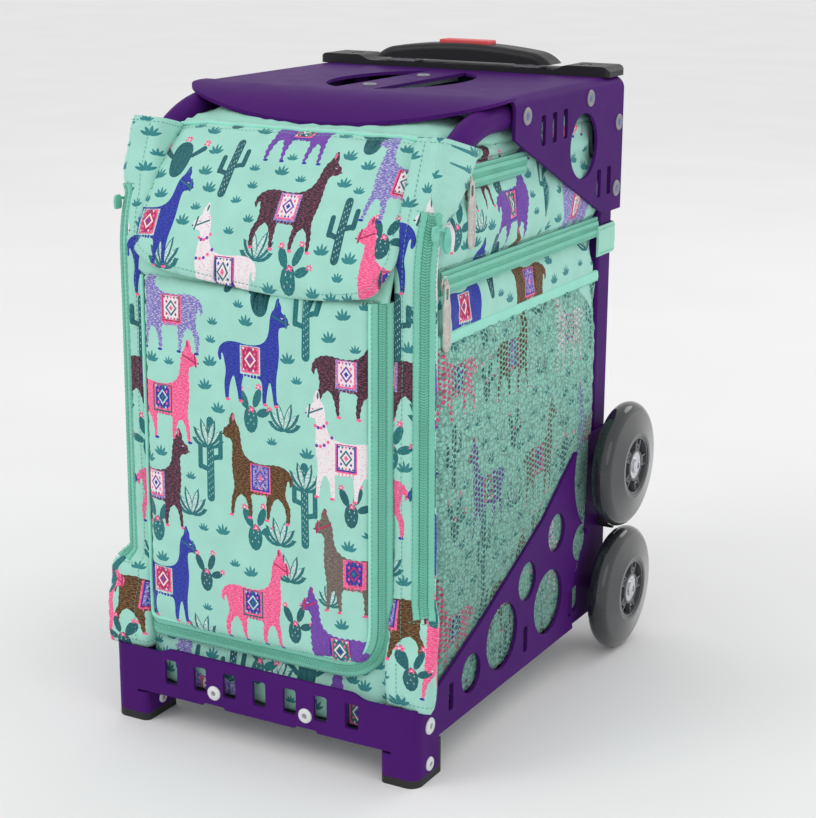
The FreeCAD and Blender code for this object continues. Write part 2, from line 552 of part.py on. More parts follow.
def bag_sections():
    """The insert's padded hollow shell: the panels of its front section, and the rest."""
    outer = joined(along_x(core_profile(0), (-CORE_X, CORE_X)),
                   along_x(side_profile(0), (-BAG_X, BAG_X)))
    inner = joined(along_x(core_profile(CLOTH), (-CORE_X + CLOTH, CORE_X - CLOTH)),
                   along_x(side_profile(CLOTH), (-BAG_X + CLOTH, BAG_X - CLOTH)))
    doorway = along_y(rounded((-88, 88), (86, 328), 6.0), (0, 40))
    shell = cut(outer, [inner, doorway])
    edge, wide, wall, top = CORE_X - CLOTH, BAG_X + 1, 18 + CLOTH, BAG_TOP + 1
    middle = (-edge, edge)
    panels = [
        ((-wide, -edge), (0, BAG_SEAM_Y), (30, top)),       # left of the front tube's hollow
        ((edge, wide), (0, BAG_SEAM_Y), (30, top)),
        (middle, (wall, BAG_SEAM_Y), (30, 38)),             # floor
        (middle, (0, wall), (30, 86)),                      # round the doorway
        ((-edge, 0), (0, wall), (86, 328)),
        ((0, edge), (0, wall), (86, 328)),
        (middle, (0, wall), (328, 346)),
        (middle, (0, BAG_SEAM_Y), (346, 372)),              # band behind the flap
        (middle, (0, BAG_SEAM_Y), (372, 407)),
        (middle, (0, BAG_SEAM_Y), (407, top)),
    ]
    front = [shell.common(box(*spans)) for spans in panels]
    return front, [shell.common(box((-wide, wide), (BAG_SEAM_Y, BAG_BACK + 1), (30, top)))]


def front_panel():
    """The zipped front panel, with rounded lower corners."""
    low, high = DOOR_Z
    x = DOOR_X - 8
    k = 22 * (1 - math.sqrt(0.5))
    z = low + 8
    return along_y([(-x, high), (-x, z + 22), (-x + k, z + k, "via"), (-x + 22, z), (x - 22, z),
                    (x - k, z + k, "via"), (x, z + 22), (x, high)], DOOR_Y)


def u_band(half, low, high, width, corner, y):
    """A flat band down one side, round two corners and up the other side."""
    def ring(x, z, radius, top):
        k = radius * (1 - math.sqrt(0.5))
        return along_y([(-x, top), (-x, z + radius), (-x + k, z + k, "via"), (-x + radius, z),
                        (x - radius, z), (x - k, z + k, "via"), (x, z + radius), (x, top)], y)
    return ring(half, low, corner + width, high).cut(ring(half - width, low + width, corner, high + 1))


def front_flap():
    """The flap over the top of the front panel."""
    outer = FLAP_CURVE
    inner = [(y + FLAP_THICK, z - 1.5) for y, z in reversed(outer)]
    inner[-1] = (outer[0][0] + FLAP_THICK, outer[0][1])
    sheet = along_x(outer + inner, (-CORE_X + 0.5, CORE_X - 0.5))
    trim = along_y(rounded((-CORE_X, CORE_X), (outer[0][1], 480), 18.0), (-5, 90))
    return sheet.common(trim)


def corner_sleeve():
    """The right-hand fabric sleeve round the front tube, up into its bend."""
    turn = Vector(0, TUBE_Y + TUBE_BEND, TUBE_Z - TUBE_BEND)
    section = rounded((103.8, 128.2), (13.0, 39.2), 8.0)
    straight = along_z(section, (61, turn.z))
    face = outline(section, lambda a, b: Vector(a, b, turn.z))
    bend = face.revolve(turn, Vector(1, 0, 0), -SLEEVE_TOP_TURN)
    bore = rod("z", 60, turn.z, TUBE_X, TUBE_Y, TUBE_R + 0.1)
    ring = Part.Face(Part.Wire(Part.makeCircle(TUBE_R + 0.1, Vector(TUBE_X, TUBE_Y, turn.z),
                                               Vector(0, 0, 1))))
    bent_bore = ring.revolve(turn, Vector(1, 0, 0), -SLEEVE_TOP_TURN)
    return joined(straight.cut(bore), bend.cut(bent_bore))


CORNER_ZIP_X = (128.4, 129.8)
CORNER_ZIP_Y, CORNER_ZIP_Z = (14.0, 27.0), (126.0, 397.0)
SIDE_ZIP_X = (BAG_X, BAG_X + 2.0)


def zip_tapes():
    """The tapes sewn to the insert: corner, upper pocket, lower pocket and front panel."""
    corner = box(CORNER_ZIP_X, CORNER_ZIP_Y, CORNER_ZIP_Z)
    upper = along_x([(63, ZIP_UPPER_Z[0]), (172, ZIP_UPPER_Z[0]), (172, ZIP_UPPER_Z[1]),
                     (79, ZIP_UPPER_Z[1])], SIDE_ZIP_X)
    lower = box(SIDE_ZIP_X, (41, BAG_BACK - 1), ZIP_LOWER_Z)
    door = u_band(CORE_X, DOOR_Z[0] - 4.5, DOOR_Z[1], 4.0, 30.0, (15.8, 17.9))
    return pair(corner, upper, lower) + [door]


def mesh_pocket():
    back = BAG_BACK - 1
    return along_x([(50, 61), (58, 40), (back, 40), (back, 310), (50, 310)], (BAG_X, BAG_X + 2.2))


def post_strap():
    """A strap loop round the right-hand post."""
    z = (330, 354)
    outer = box((POST_IN - 1.6, POST_OUT + 1.6), (POST_FRONT - 1.6, DEPTH + 1.6), z)
    return outer.cut(box((POST_IN, POST_OUT), (POST_FRONT, DEPTH), z))


# ---- zip sliders and pulls ----------------------------------------------------------------------
PULL_LENGTH, PULL_WIDTH, PULL_THICK = 47.0, 11.0, 2.2


def side_slider(y, z):
    """A slider on a side zip."""
    x = SIDE_ZIP_X[1] + GAP
    return box((x, x + 2.6), (y - 4, y + 4), (z - 5.5, z + 5.5))


def side_pull(y, top):
    """A flat metal pull with an eye, hanging in front of its slider."""
    x = SIDE_ZIP_X[1] + 3 * GAP + 2.6
    low = top - PULL_LENGTH
    points = [(y - 3, top), (y + 3, top), (y + 4, top - 12), (y + PULL_WIDTH / 2, top - 14),
              (y + PULL_WIDTH / 2, low + 5.5), (y, low, "via"), (y - PULL_WIDTH / 2, low + 5.5),
              (y - PULL_WIDTH / 2, top - 14), (y - 4, top - 12)]
    eye = along_x(rounded((y - 1.6, y + 1.6), (top - 10, top - 3), 1.5), (x - 1, x + PULL_THICK + 1))
    return along_x(points, (x, x + PULL_THICK)).cut(eye)


def corner_slider():
    """The slider of the right-hand corner zip, with its teardrop pull."""
    x = CORNER_ZIP_X[1] + GAP
    top = CORNER_ZIP_Z[1]
    body = box((x, x + 2.2), (17, 25), (top - 11, top))
    neck = box((x + 2.2, x + 3.6), (21, 33), (top - 7, top - 3))
    drop = along_x([(30, top - 3), (33, top - 3), (38, top - 16), (31.5, top - 23, "via"),
                    (25, top - 16)], (x + 2.2, x + 4.6))
    return joined(body, neck, drop)


def panel_slider():
    """A small slider beside the upper end of the front panel."""
    return box((DOOR_X + 0.5, CORE_X), (12.3, 15.5), (314, 326))


# ---- export -------------------------------------------------------------------------------------
def write(name, solids):
    """Write one node, moved so that the origin is under the middle of the object."""
    moved = [solid.translated(Vector(0, -ORIGIN_Y, 0)) for solid in solids]
    shape = moved[0] if len(moved) == 1 else Part.makeCompound(moved)
    shape.exportStep(os.path.join("parts", name + ".step"))


def write_sides(name, solid):
    """Write a right-hand part and its mirror image as two nodes."""
    write(name + "_right", [solid])
    write(name + "_left", [mirrored(solid)])


def screws():
    """Pan-head screws of the bar and the feet."""
    bar = joined(rod("y", -SCREW_HEAD, 0, BAR_SCREW_X, BAR_SCREW_Z, 5.6),
                 rod("y", 0, SHEET, BAR_SCREW_X, BAR_SCREW_Z, SHANK_R))
    side = [joined(rod("x", HALF, HALF + 1.6, FOOT_SCREW_Y, z, r),
                   rod("x", INSIDE, HALF, FOOT_SCREW_Y, z, SHANK_R))
            for z, r in zip(FOOT_SCREW_Z, (6.2, 5.2))]
    cheek = joined(rod("x", FOOT_IN - 1.6, FOOT_IN, FOOT_SCREW_Y, FOOT_SCREW_Z[1], 4.5),
                   rod("x", FOOT_IN, FOOT_IN + SHEET, FOOT_SCREW_Y, FOOT_SCREW_Z[1], SHANK_R))
    return pair(bar, *side, cheek)


def rivets():
    """Rivets of the gussets and of the seat's hand bar."""
    ends = (TUBE_X + TUBE_R, TUBE_X + TUBE_R, POST_OUT, POST_OUT)
    side = [joined(rod("x", HALF, HALF + 1.4, y, z, 6.4), rod("x", end, HALF, y, z, SHANK_R))
            for (y, z), end in zip(GUSSET_RIVETS, ends)]
    seat = [joined(rod("z", SEAT_TOP, SEAT_TOP + 1.0, 0, y, 5.2), rod("z", SEAT_UNDER, SEAT_TOP, 0, y, SHANK_R))
            for y in SEAT_RIVET_Y]
    return pair(*side) + seat


def main():
    os.makedirs("parts", exist_ok=True)
    write("base_shell", [base_shell()])
    write("floor_tray", [floor_tray()])
    write("corner_brackets", pair(corner_bracket()))
    write("foot_caps", pair(foot_cap()))
    write("frame_screws", screws())
    write("frame_rivets", rivets())
    write("rear_panel", [box((-POST_IN, POST_IN), (POST_FRONT, POST_FRONT + 2.4), (32, SIDE_TOP))])
    write("rear_crossbar", [box((-POST_IN, POST_IN), (POST_FRONT, POST_FRONT + 2.4), (365, 395))])
    write_sides("front_tube", front_tube())
    write_sides("rear_post", rear_post())
    write("seat_plate", [seat_plate()])
    write("seat_brace", [box((-14, 14), (150, 275), (SEAT_UNDER - 3, SEAT_UNDER))])
    write("bump_stops", pair(rod("x", HALF - ARCH_DEPTH, HALF + 8, AXLE_Y + 4, sum(AXLE_Z) / 2, 5.0)))

    write("rear_cap", [rear_cap()])
    write("cap_screws", pair(joined(
        rod("z", CAP_LUMP_Z - 2, CAP_LUMP_Z - 0.5, CAP_SCREW_X, CAP_SCREW_Y, 4.8),
        rod("z", SEAT_UNDER, CAP_LUMP_Z - 2, CAP_SCREW_X, CAP_SCREW_Y, SHANK_R))))
    write("handle_outer_tubes", pair(handle_tube(HANDLE_OUTER, (44, SEAT_UNDER))))
    write("handle_foot_block", [box((-75, 75), (POST_FRONT + 2.4, 327), (34, 44))])
    write("handle_mid_tubes", pair(handle_mid_tube()))
    write("handle_inner_tubes", pair(handle_tube(HANDLE_INNER, (72, INNER_TOP))))
    write("handle_grip", [handle_grip()])
    write("release_button", [release_button()])
    write("release_rods", [release_rods()])

    for level, z in zip(("lower", "upper"), AXLE_Z):
        write_sides(level + "_tyre", tyre(z))
        write_sides(level + "_hub", hub(z))
    write("wheel_bearings", pair(*[ring for z in AXLE_Z for ring in bearings(z)]))
    write("axle_bolts", pair(*[axle_bolt(z) for z in AXLE_Z]))
    write("axle_spacers", pair(*[sleeve for z in AXLE_Z for sleeve in axle_spacers(z)]))
    write("axle_nuts", pair(*[axle_nut(z) for z in AXLE_Z]))

    for name, panels in zip(("bag_front", "bag_body"), bag_sections()):
        write(name, panels)
    write("floor_board", [box((-115, 115), (50, 298), (38, 40))])
    write("top_cover", [box((-CORE_X, CORE_X), (FLAP_HINGE[0] + 6, BAG_BACK), (BAG_TOP, BAG_TOP + 2.5))])
    write("front_panel", [front_panel()])
    write("panel_zip_tape", [u_band(DOOR_X, DOOR_Z[0], DOOR_Z[1], 8.0, 22.0, (DOOR_Y[0] + 1, DOOR_Y[0] + 4))])
    write("front_flap", [front_flap()])
    write_sides("corner_sleeve", corner_sleeve())
    write("zip_tapes", zip_tapes())
    write("mesh_pockets", pair(mesh_pocket()))
    write("mesh_bindings", pair(box((BAG_X, BAG_X + 2.4), (50, BAG_BACK - 1), (310.2, MESH_TOP))))
    write("post_straps", pair(post_strap()))
    write_sides("corner_slider", corner_slider())
    write_sides("upper_slider", side_slider(77.5, 421))
    write_sides("upper_pull", side_pull(77.5, 419))
    write_sides("lower_slider", side_slider(44.5, 354))
    write_sides("lower_pull", side_pull(42.5, 354))
    write_sides("panel_slider", panel_slider())


main()
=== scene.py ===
"""Looks of the wheeled skate bag, in metres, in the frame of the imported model.

Fabric is laid out flat in millimetres and then placed on its shape: a skin is a flat outline with
its print cut into it, and a band is a section swept along a line on such a shape.
"""

import math
import random

import bpy
import numpy as np
from mathutils import Matrix, Vector, geometry


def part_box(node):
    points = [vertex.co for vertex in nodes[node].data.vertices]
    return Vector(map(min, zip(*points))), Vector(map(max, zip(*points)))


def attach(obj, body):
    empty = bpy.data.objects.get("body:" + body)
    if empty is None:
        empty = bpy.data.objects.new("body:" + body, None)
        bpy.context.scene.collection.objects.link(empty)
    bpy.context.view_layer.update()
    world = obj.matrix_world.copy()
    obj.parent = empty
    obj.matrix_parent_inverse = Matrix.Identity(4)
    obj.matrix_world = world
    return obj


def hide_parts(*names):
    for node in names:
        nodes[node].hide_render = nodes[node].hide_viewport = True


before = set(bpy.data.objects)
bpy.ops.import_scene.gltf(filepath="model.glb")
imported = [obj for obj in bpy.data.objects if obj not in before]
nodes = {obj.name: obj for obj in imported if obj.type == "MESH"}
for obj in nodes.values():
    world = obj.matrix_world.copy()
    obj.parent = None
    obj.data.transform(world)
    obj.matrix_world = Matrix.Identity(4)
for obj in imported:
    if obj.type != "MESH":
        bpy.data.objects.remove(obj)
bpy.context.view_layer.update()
MM = 0.001
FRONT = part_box("base_shell")[0][1]       # front face of the base bar
SIDES = ((1, "right"), (-1, "left"))


def row(p):
    """Millimetres with Y from the front of the bar, to metres in the row frame."""
    return np.asarray(p, float) * MM + np.array([0.0, FRONT, 0.0])


def unit(v):
    n = np.linalg.norm(v, axis=-1, keepdims=True)
    return v / np.where(n > 1e-12, n, 1)


def fade(x, start, end):
    """0 at start to 1 at end, and held outside them."""
    return np.clip((x - start) / (end - start), 0, 1)


def full_turn(count):
    """Angles at an even spacing round a circle."""
    return np.linspace(0, 2 * math.pi, count, endpoint=False)


# ---- materials ----
def srgb(hexa):
    """A hex colour as linear RGBA."""
    v = [int(hexa[i:i + 2], 16) / 255 for i in (0, 2, 4)]
    return [c / 12.92 if c <= 0.04045 else ((c + 0.055) / 1.055) ** 2.4 for c in v] + [1.0]


def shaded(color, k):
    """A linear colour made lighter or darker."""
    return [min(1.0, c * k) for c in color[:3]] + [1.0]


class Shade:
    """A principled material and short ways to add nodes to it."""

    def __init__(self, name, color, rough, **sockets):
        self.mat = bpy.data.materials.new(name)
        self.mat.use_nodes = True
        self.tree = self.mat.node_tree
        self.bsdf = self.tree.nodes["Principled BSDF"]
        self.color = srgb(color)
        self.bsdf.inputs["Base Color"].default_value = self.color
        self.bsdf.inputs["Roughness"].default_value = rough
        for key, value in sockets.items():
            self.bsdf.inputs[key.replace("_", " ")].default_value = value
        self.mat.diffuse_color = self.color

    def link(self, a, b):
        self.tree.links.new(a, b)

    def node(self, kind, vector=None, **values):
        n = self.tree.nodes.new("ShaderNode" + kind)
        for key, value in values.items():
            n.inputs[key].default_value = value
        if vector is not None:
            self.link(vector, n.inputs["Vector"])
        return n

    def fill(self, n, pairs):
        """Link or set a node's inputs."""
        for k, v in pairs:
            if isinstance(v, bpy.types.NodeSocket):
                self.link(v, n.inputs[k])
            else:
                n.inputs[k].default_value = v

    def coords(self, scale=(1, 1, 1), kind="Object"):
        source = self.node("TexCoord").outputs[kind]
        return self.node("Mapping", source, Scale=scale).outputs["Vector"]

    def split(self, vector):
        return self.node("SeparateXYZ", vector).outputs

    def noise(self, vector, scale, detail=2.0, rough=0.5):
        return self.node("TexNoise", vector, Scale=scale, Detail=detail, Roughness=rough).outputs["Fac"]

    def ramp(self, fac, stops):
        n = self.node("ValToRGB")
        elements = n.color_ramp.elements
        while len(elements) < len(stops):
            elements.new(0.5)
        for e, (pos, value) in zip(elements, stops):
            e.position = pos
            e.color = value if isinstance(value, list) else [value, value, value, 1]
        self.link(fac, n.inputs["Fac"])
        return n.outputs["Color"]

    def mottle(self, fac, low, high):
        """Base colour between a darker and a lighter shade of its own."""
        self.tint(self.ramp(fac, [(0.3, shaded(self.color, low)), (0.7, shaded(self.color, high))]))

    def math(self, op, a, b=0.0):
        n = self.node("Math")
        n.operation = op
        self.fill(n, enumerate((a, b)))
        return n.outputs[0]

    def mix(self, fac, a, b, blend="MIX"):
        n = self.node("Mix")
        n.data_type = "RGBA"
        n.blend_type = blend
        self.fill(n, ((0, fac), (6, a), (7, b)))
        return n.outputs[2]

    def times(self, a, b):
        return self.mix(1.0, a, b, "MULTIPLY")

    def bump(self, height, distance, strength):
        n = self.node("Bump", Distance=distance, Strength=strength)
        self.link(height, n.inputs["Height"])
        self.link(n.outputs["Normal"], self.bsdf.inputs["Normal"])

    def tint(self, socket):
        self.link(socket, self.bsdf.inputs["Base Color"])

    def gloss(self, fac, low, high):
        """Roughness between low and high."""
        n = self.node("MapRange")
        self.fill(n, (("To Min", low), ("To Max", high), ("Value", fac)))
        self.link(n.outputs["Result"], self.bsdf.inputs["Roughness"])


WEAVE_PITCH = 0.00062
NET_PITCH, NET_HOLE = (0.0092, 0.0042), (0.00215, 0.00145)      # along and across, in metres


def weave_height(m):
    """Height of a plain weave, on flat fabric coordinates."""
    split = m.split(m.coords((1 / WEAVE_PITCH, 1 / WEAVE_PITCH, 1), "UV"))
    waves = [m.math("SINE", m.math("MULTIPLY", split[k], math.pi)) for k in (0, 1)]
    return m.math("MULTIPLY", waves[0], waves[1])


def wandering(m):
    """Flat coordinates that wander a little, as in slack netting."""
    uv = m.node("TexCoord").outputs["UV"]
    drift = m.node("TexNoise", uv, Scale=38.0, Detail=2.0).outputs["Color"]
    move = m.node("Mapping", drift, Location=(-0.0035, -0.0035, 0), Scale=(0.007, 0.007, 0))
    add = m.node("VectorMath")
    add.operation = "ADD"
    m.fill(add, ((0, uv), (1, move.outputs["Vector"])))
    return add.outputs[0]


def net_holes(m):
    """1 in the round holes of a staggered net, 0 on its threads."""
    masks = []
    for shift in (0.0, 0.5):
        mapping = m.node("Mapping", wandering(m), Scale=(1 / NET_PITCH[0], 1 / NET_PITCH[1], 1),
                         Location=(shift, shift, 0))
        split = m.split(mapping.outputs["Vector"])
        squares = []
        for k in (0, 1):
            local = m.math("MULTIPLY", m.math("SUBTRACT", m.math("FRACT", split[k]), 0.5),
                           NET_PITCH[k] / NET_HOLE[k])
            squares.append(m.math("MULTIPLY", local, local))
        masks.append(m.math("SQRT", m.math("ADD", *squares)))
    near = m.math("MINIMUM", *masks)
    return m.ramp(m.math("MULTIPLY", near, 0.5), [(0.46, 1.0), (0.53, 0.0)])


def netted(m, uv, tone, net):
    """Lay a crumpled net of a colour over printed cloth, with painted shade and highlight on its crumples, painted
    shade in its holes and along its cell edges, and darker low in the pocket where the net lies double and painted
    shade is added.
    """
    hole = net_holes(m)
    crumple = m.noise(uv, 260.0, 4.0, 0.75)
    # Painted shade and painted highlight: the net's own colour made darker and lighter over its crumples.
    crumple_shaded_strand = m.ramp(crumple, [(pos, shaded(srgb(net), k)) for pos, k in ((0.42, 0.66), (0.50, 0.98), (0.62, 1.30))])
    # Painted shade: the print seen through the holes is darkened.
    tone = m.mix(hole, crumple_shaded_strand, m.times(tone, [0.80, 0.84, 0.84, 1]))
    # Darker low in the pocket, where the net lies double, with painted shade added there.
    height = m.split(m.coords())[2]
    tone = m.times(tone, m.ramp(m.math("MULTIPLY", height, 4.0), [(0.24, 0.62), (1.0, 1.0)]))
    # Painted shadow of the net: darker along the edges of its cells.
    net_shadow_cells = m.node("TexVoronoi", wandering(m), Scale=235.0, Randomness=0.6)
    net_shadow_cells.feature = "DISTANCE_TO_EDGE"
    tone = m.times(tone, m.ramp(net_shadow_cells.outputs["Distance"], [(0.03, 0.60), (0.15, 1.0)]))
    m.bump(m.math("ADD", m.math("SUBTRACT", 1.0, hole), m.math("MULTIPLY", crumple, 1.2)), 0.0007, 0.8)
    return tone


def cloth_material(name, color, grain=0.05, stroke=None, net=None):
    """Woven cloth. stroke = (colour, share, angle) adds printed brush strokes; net lays a net over it."""
    m = Shade(name, color, 0.86, Sheen_Weight=0.12, Sheen_Roughness=0.5, Specular_IOR_Level=0.25)
    uv = m.coords(kind="UV")
    soft, fine = m.noise(uv, 46.0, 3.0), m.noise(uv, 1500.0)
    tone = m.ramp(m.math("ADD", m.math("MULTIPLY", soft, 0.6), m.math("MULTIPLY", fine, 0.4)),
                  [(0.32, shaded(m.color, 1 - grain * 1.6)), (0.68, shaded(m.color, 1 + grain))])
    if stroke:
        ink, share, angle = stroke
        turned = m.node("Mapping", uv, Rotation=(0, 0, angle), Scale=(430, 2000, 1))
        lines = m.noise(turned.outputs["Vector"], 1.0, 1.0)
        mask = m.ramp(lines, [(0.62 - share * 0.4, 0.0), (0.66 - share * 0.4, 1.0)])
        tone = m.mix(mask, tone, srgb(ink))
    if net:
        tone = netted(m, uv, tone, net)
    else:
        m.bump(weave_height(m), 0.00012, 0.55)
    m.tint(tone)
    return m.mat


def paint_material():
    m = Shade("purple_powder_coat", "481a69", 0.5, Specular_IOR_Level=0.05)
    v = m.coords()
    m.tint(m.ramp(m.noise(v, 14.0, 4.0), [(0.3, srgb("451966")), (0.7, srgb("4c1c6e"))]))
    m.gloss(m.noise(v, 60.0, 3.0), 0.42, 0.56)
    m.bump(m.noise(v, 900.0), 0.00018, 0.25)
    return m.mat


def plastic_material(name, color, rough, bump, scale=1400.0, **sockets):
    m = Shade(name, color, rough, **sockets)
    v = m.coords()
    m.mottle(m.noise(v, 30.0, 4.0), 0.88, 1.12)
    m.gloss(m.noise(v, 90.0, 3.0), rough - 0.06, rough + 0.08)
    m.bump(m.noise(v, scale), 0.0001, bump)
    return m.mat


def metal_material(name, color, rough, scratch=0.15):
    m = Shade(name, color, rough, Metallic=1.0)
    v = m.coords((900, 60, 900))
    m.gloss(m.noise(v, 1.0, 3.0), rough - 0.06, rough + 0.10)
    m.mottle(m.noise(m.coords(), 300.0, 3.0), 0.86, 1.08)
    m.bump(m.noise(v, 1.0), 0.00005, scratch)
    return m.mat


def wheel_material():
    m = Shade("smoky_urethane", "36383b", 0.06, Transmission_Weight=0.42, IOR=1.45,
              Coat_Weight=0.5, Coat_Roughness=0.06)
    v = m.coords()
    m.tint(m.ramp(m.noise(v, 24.0, 3.0), [(0.3, srgb("323437")), (0.7, srgb("3d3f42"))]))
    m.gloss(m.noise(v, 80.0, 3.0), 0.05, 0.12)
    return m.mat


def floor_material():
    m = Shade("pale_floor", "f4f4f4", 0.8)
    m.tint(m.ramp(m.noise(m.coords(), 3.0), [(0.2, srgb("f1f1f1")), (0.8, srgb("f6f6f6"))]))
    return m.mat


INKS = {
    "mint": ("a4dccd", 0.05, None),
    "teal": ("2f8083", 0.08, ("26686c", 0.35, 1.2)),
    "dark_teal": ("2f7077", 0.08, ("235a60", 0.40, 1.45)),
    "pale_teal": ("37888c", 0.08, None),
    "sage": ("d5ece6", 0.05, ("7fb7ae", 0.30, 1.0)),
    "navy": ("263090", 0.10, ("3a49b4", 0.35, 0.5)),
    "white": ("efe9ec", 0.03, ("e8a9bf", 0.04, 1.3)),
    "lilac": ("d9d6e8", 0.05, ("7a74bd", 0.55, 1.1)),
    "purple": ("8c5fc0", 0.10, ("6f45a4", 0.60, 0.9)),
    "brown": ("3d2a2e", 0.10, ("8a4a62", 0.45, 1.2)),
    "tan": ("4a301f", 0.10, ("80603c", 0.30, 1.2)),
    "taupe": ("8d8178", 0.10, ("6a5f58", 0.50, 1.2)),
    "pink": ("f0518a", 0.06, ("ff86ad", 0.30, 0.8)),
    "rose": ("d8386f", 0.06, ("9b2f55", 0.40, 0.8)),
    "ink": ("362a33", 0.05, ("8a4a62", 0.22, 1.1)),
}
THREAD, TAPE, BINDING, NET_THREAD = "62ad9c", "7ecab4", "9ce4d0", "86c9b6"
inks = {name: cloth_material("print_" + name, c, g, s) for name, (c, g, s) in INKS.items()}
net_inks = {name: cloth_material("net_" + name, c, g, s, NET_THREAD) for name, (c, g, s) in INKS.items()}
lining = cloth_material("lining", "8fcdb9", 0.06)
plain = cloth_material("plain_cloth", "a0dbc9", 0.06)
tape = cloth_material("zip_tape_cloth", TAPE, 0.06)
binding = cloth_material("binding_cloth", BINDING, 0.04)
thread = cloth_material("thread", THREAD, 0.08)
coil = plastic_material("zip_coil", "80ccb5", 0.42, 0.1)
paint = paint_material()
black = plastic_material("black_plastic", "1b1b1e", 0.42, 0.35, 1800.0, Specular_IOR_Level=0.3)
hub_grey = plastic_material("hub_plastic", "5b5d60", 0.30, 0.1)
# Painted shadow: a near-black drum that darkens the windows between the hub's spokes.
hub_shadow_drum = plastic_material("hub_dark", "0d0d0e", 0.5, 0.2)
rubber = plastic_material("black_rubber", "1b1b1d", 0.62, 0.5, 900.0)
red = plastic_material("button_red", "d8474a", 0.40, 0.15)
pull_rubber = plastic_material("pull_rubber", "6fc9b4", 0.48, 0.2)
board = plastic_material("board", "26282b", 0.7, 0.4)
steel = metal_material("satin_steel", "a6a8ac", 0.38)
bright = metal_material("bright_zinc", "d4d6da", 0.26)
zamak = metal_material("cast_zinc", "d0cbc6", 0.32, 0.3)
rivet_grey = plastic_material("rivet_grey", "8f9196", 0.45, 0.2, Metallic=0.3)
rivet_core = metal_material("rivet_core", "727ea8", 0.28)
screw_white = plastic_material("screw_coat", "d9dcdc", 0.35, 0.15, Metallic=0.2)
# Painted shadow: a darker mint for the ridge under each zip coil and for the base seen in the grooves of the side
# zips.
coil_shadow_cloth = cloth_material("coil_shadow_cloth", "63b09c", 0.06)
wheel = wheel_material()


# ---- mesh helpers ----
def add_mesh(name, verts, faces, materials, picks=None, uvs=None, mm=True):
    """A smooth mesh object from row-frame metres, or from front millimetres when mm is set."""
    verts = row(verts) if mm else np.asarray(verts, float)
    mesh = bpy.data.meshes.new(name)
    mesh.from_pydata([tuple(v) for v in verts], [], [tuple(int(i) for i in f) for f in faces])
    for m in materials:
        mesh.materials.append(m)
    if picks is not None:
        mesh.polygons.foreach_set("material_index", [int(p) for p in picks])
    mesh.polygons.foreach_set("use_smooth", [True] * len(mesh.polygons))
    if uvs is not None:
        layer = mesh.uv_layers.new(name="flat")
        loops = np.empty(len(mesh.loops), dtype=np.int32)
        mesh.loops.foreach_get("vertex_index", loops)
        layer.data.foreach_set("uv", (np.asarray(uvs)[loops] * MM).ravel())
    mesh.validate()
    obj = bpy.data.objects.new(name, mesh)
    bpy.context.scene.collection.objects.link(obj)
    return obj


class Parts:
    """Several meshes collected into one object."""

    def __init__(self):
        self.verts, self.faces, self.picks, self.uvs = [], [], [], []

    def add(self, verts, faces, pick=0, uvs=None):
        start = len(self.verts)
        self.verts += [tuple(v) for v in verts]
        self.faces += [tuple(int(i) + start for i in f) for f in faces]
        self.picks += [pick] * len(faces)
        self.uvs += [tuple(u) for u in (uvs if uvs is not None else [(v[0], v[2]) for v in verts])]

    def build(self, name, materials, angle):
        """The object, with edges above an angle in degrees kept sharp."""
        obj = add_mesh(name, self.verts, self.faces, materials, self.picks, self.uvs)
        obj.data.set_sharp_from_angle(angle=math.radians(angle))
        return obj


def lengths(points):
    """How far along a polyline each of its points is."""
    return np.concatenate([[0], np.cumsum(np.linalg.norm(np.diff(points, axis=0), axis=1))])


def resample(points, step):
    """Points at an even spacing along a polyline."""
    p = np.asarray(points, float)
    along = lengths(p)
    count = max(2, int(round(along[-1] / step)) + 1)
    t = np.linspace(0, along[-1], count)
    return np.stack([np.interp(t, along, p[:, k]) for k in range(p.shape[1])], axis=1)


def bend(a, b, c, radius, turns):
    """Points that round off the corner b between a and c."""
    r = min(radius, np.linalg.norm(b - a) * 0.49, np.linalg.norm(c - b) * 0.49)
    start, end = b + unit(a - b) * r, b + unit(c - b) * r
    return [(1 - t) ** 2 * start + 2 * t * (1 - t) * b + t ** 2 * end
            for t in np.linspace(0, 1, turns if r > 0.5 else 1)]


def rounded_path(points, radius, turns):
    """A polyline with its inner corners rounded."""
    p = [np.asarray(q, float) for q in points]
    curves = [bend(a, b, c, radius, turns) for a, b, c in zip(p, p[1:], p[2:])]
    return np.array([p[0]] + sum(curves, []) + [p[-1]])


def rounded_outline(corners, radius, turns=7):
    """A closed outline with rounded corners; radius is one number or one per corner."""
    p = [np.asarray(q, float) for q in corners]
    radii = np.broadcast_to(radius, len(p))
    return np.array(sum((bend(p[k - 1], p[k], p[(k + 1) % len(p)], radii[k], turns) for k in range(len(p))), []))


# A line on a surface is a pair: its points and the surface's normals there.
def facing(points, normal):
    """A line on a plane."""
    return np.asarray(points, float), np.tile(np.asarray(normal, float), (len(points), 1))


def raised(line, lift, shift=(0, 0, 0)):
    """A line moved off its surface, and then by a shift."""
    points, normals = line
    return points + normals * lift + shift, normals


def frames(points, normals, closed=False):
    """Tangent, normal and side vectors along a polyline."""
    around = np.roll(points, -1, 0) - np.roll(points, 1, 0) if closed else np.gradient(points, axis=0)
    tangent = unit(around)
    side = unit(np.cross(tangent, normals))
    return tangent, unit(np.cross(side, tangent)), side


